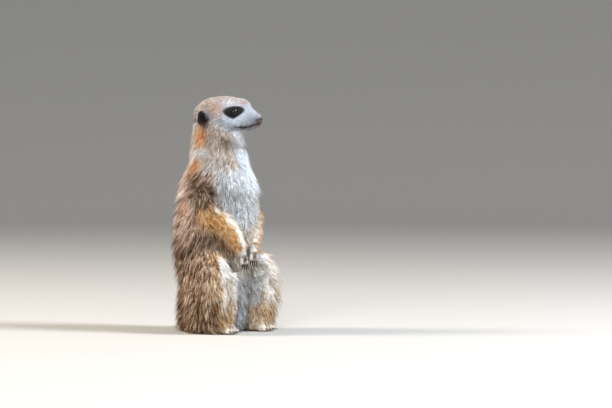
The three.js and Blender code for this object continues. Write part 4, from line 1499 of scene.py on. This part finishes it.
def whisker_rings(root, out, length):
    """A bristle's rings, tapering and drooping back from its root."""
    droop = -UP * 0.35 - HEAD_AHEAD * 0.55
    side = unit(np.cross(out, UP))
    above = np.cross(side, out)
    rings = []
    for share in np.linspace(0, 1, WHISKER_STEPS):
        centre = root + out * (length * share - 0.5) + droop * length * 0.35 * share ** 2
        thick = WHISKER_THICK / 2 * (1 - 0.85 * share)
        rings.append(centre + thick * circle(np.array(WHISKER_CORNERS), side, above))
    return rings


def make_whiskers(skin, material):
    """Thin bristles in rows on each side of the muzzle, swept back and down, and two over each eye."""
    rng = np.random.default_rng(71)
    tree = tree_of(skin["points"])
    pieces = []
    for way in SIDES.values():
        for number in range(WHISKERS_EACH_SIDE + BROW_WHISKERS):
            brow = number >= WHISKERS_EACH_SIDE
            row = number % 3
            if brow:
                wanted = from_head(15 + 3 * row, way * 19, 15)
            else:
                wanted = from_head(25 + PAD_RADII[0] * (number / 5 - 1) + rng.normal() * 0.3, way * 12,
                                   -7.6 + PAD_RADII[1] * (row / 2 - 0.6))
            root = np.array(tree.find(wanted)[0])
            length = rng.uniform(*WHISKER_LENGTHS) * (0.7 if brow else 1)
            rise = (0.7 if brow else -0.35) + 0.2 * rng.normal()
            out = unit(way * HEAD_LEFT - HEAD_AHEAD * 0.35 + UP * rise)
            pieces.append(loft(f"whisker_{len(pieces)}", whisker_rings(root, out, length)))
    made = joined("whiskers", pieces, material)
    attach(made, "root")


# ---------------------------------------------------------------- putting it together


def make_body():
    """The skin and, on it, every piece of the coat."""
    mesh, skin = make_skin()
    skin["marks"] = mark_coat(skin)
    # Painted shade: the skin is darker than the hair on it, least under short fur and white hair.
    short = diffused(on_parts(skin["owner"], FINE_PARTS), skin["edges"], 8)
    pale = PALE_FUR_SHARE * step(0.35, 0.75, skin["marks"][:, :3].mean(1))
    shade = blend(PAINTED_UNDERFUR_SHADE, PAINTED_SHORT_FUR_SHADE, np.maximum(short, pale))
    set_colours(mesh, skin["marks"][:, :3] * shade[:, None])
    mesh.materials.clear()
    mesh.materials.append(skin_material())
    shade_smooth(mesh)
    made = put_in_scene("skin", mesh)
    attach(made, "root")
    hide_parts(*FLESH)
    tune_growth(skin)
    finishes = {slot: hair_material(*finish) for slot, finish in HAIR_FINISHES.items()}
    for seed, (name, (slot, parts, reach, clump_size, draw)) in enumerate(COAT_PIECES.items(), 100):
        piece = grow(name, skin, coat_triangles(skin, parts, reach), clump_size, draw, seed)
        piece.data.materials.append(finishes[slot])
        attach(piece, "root")
    return skin


place_camera()
lay_floor()
light_studio()
skin = make_body()
eye_finish = eye_material()
for side, way in SIDES.items():
    make_eye(side, way, eye_finish)
make_nose()
make_claws(horn_material("dark_horn", "#211916", "#4F423A", 900, 0.32))
make_whiskers(skin, horn_material("bristle", "#1B1512", "#3D322B", 700, 0.4))
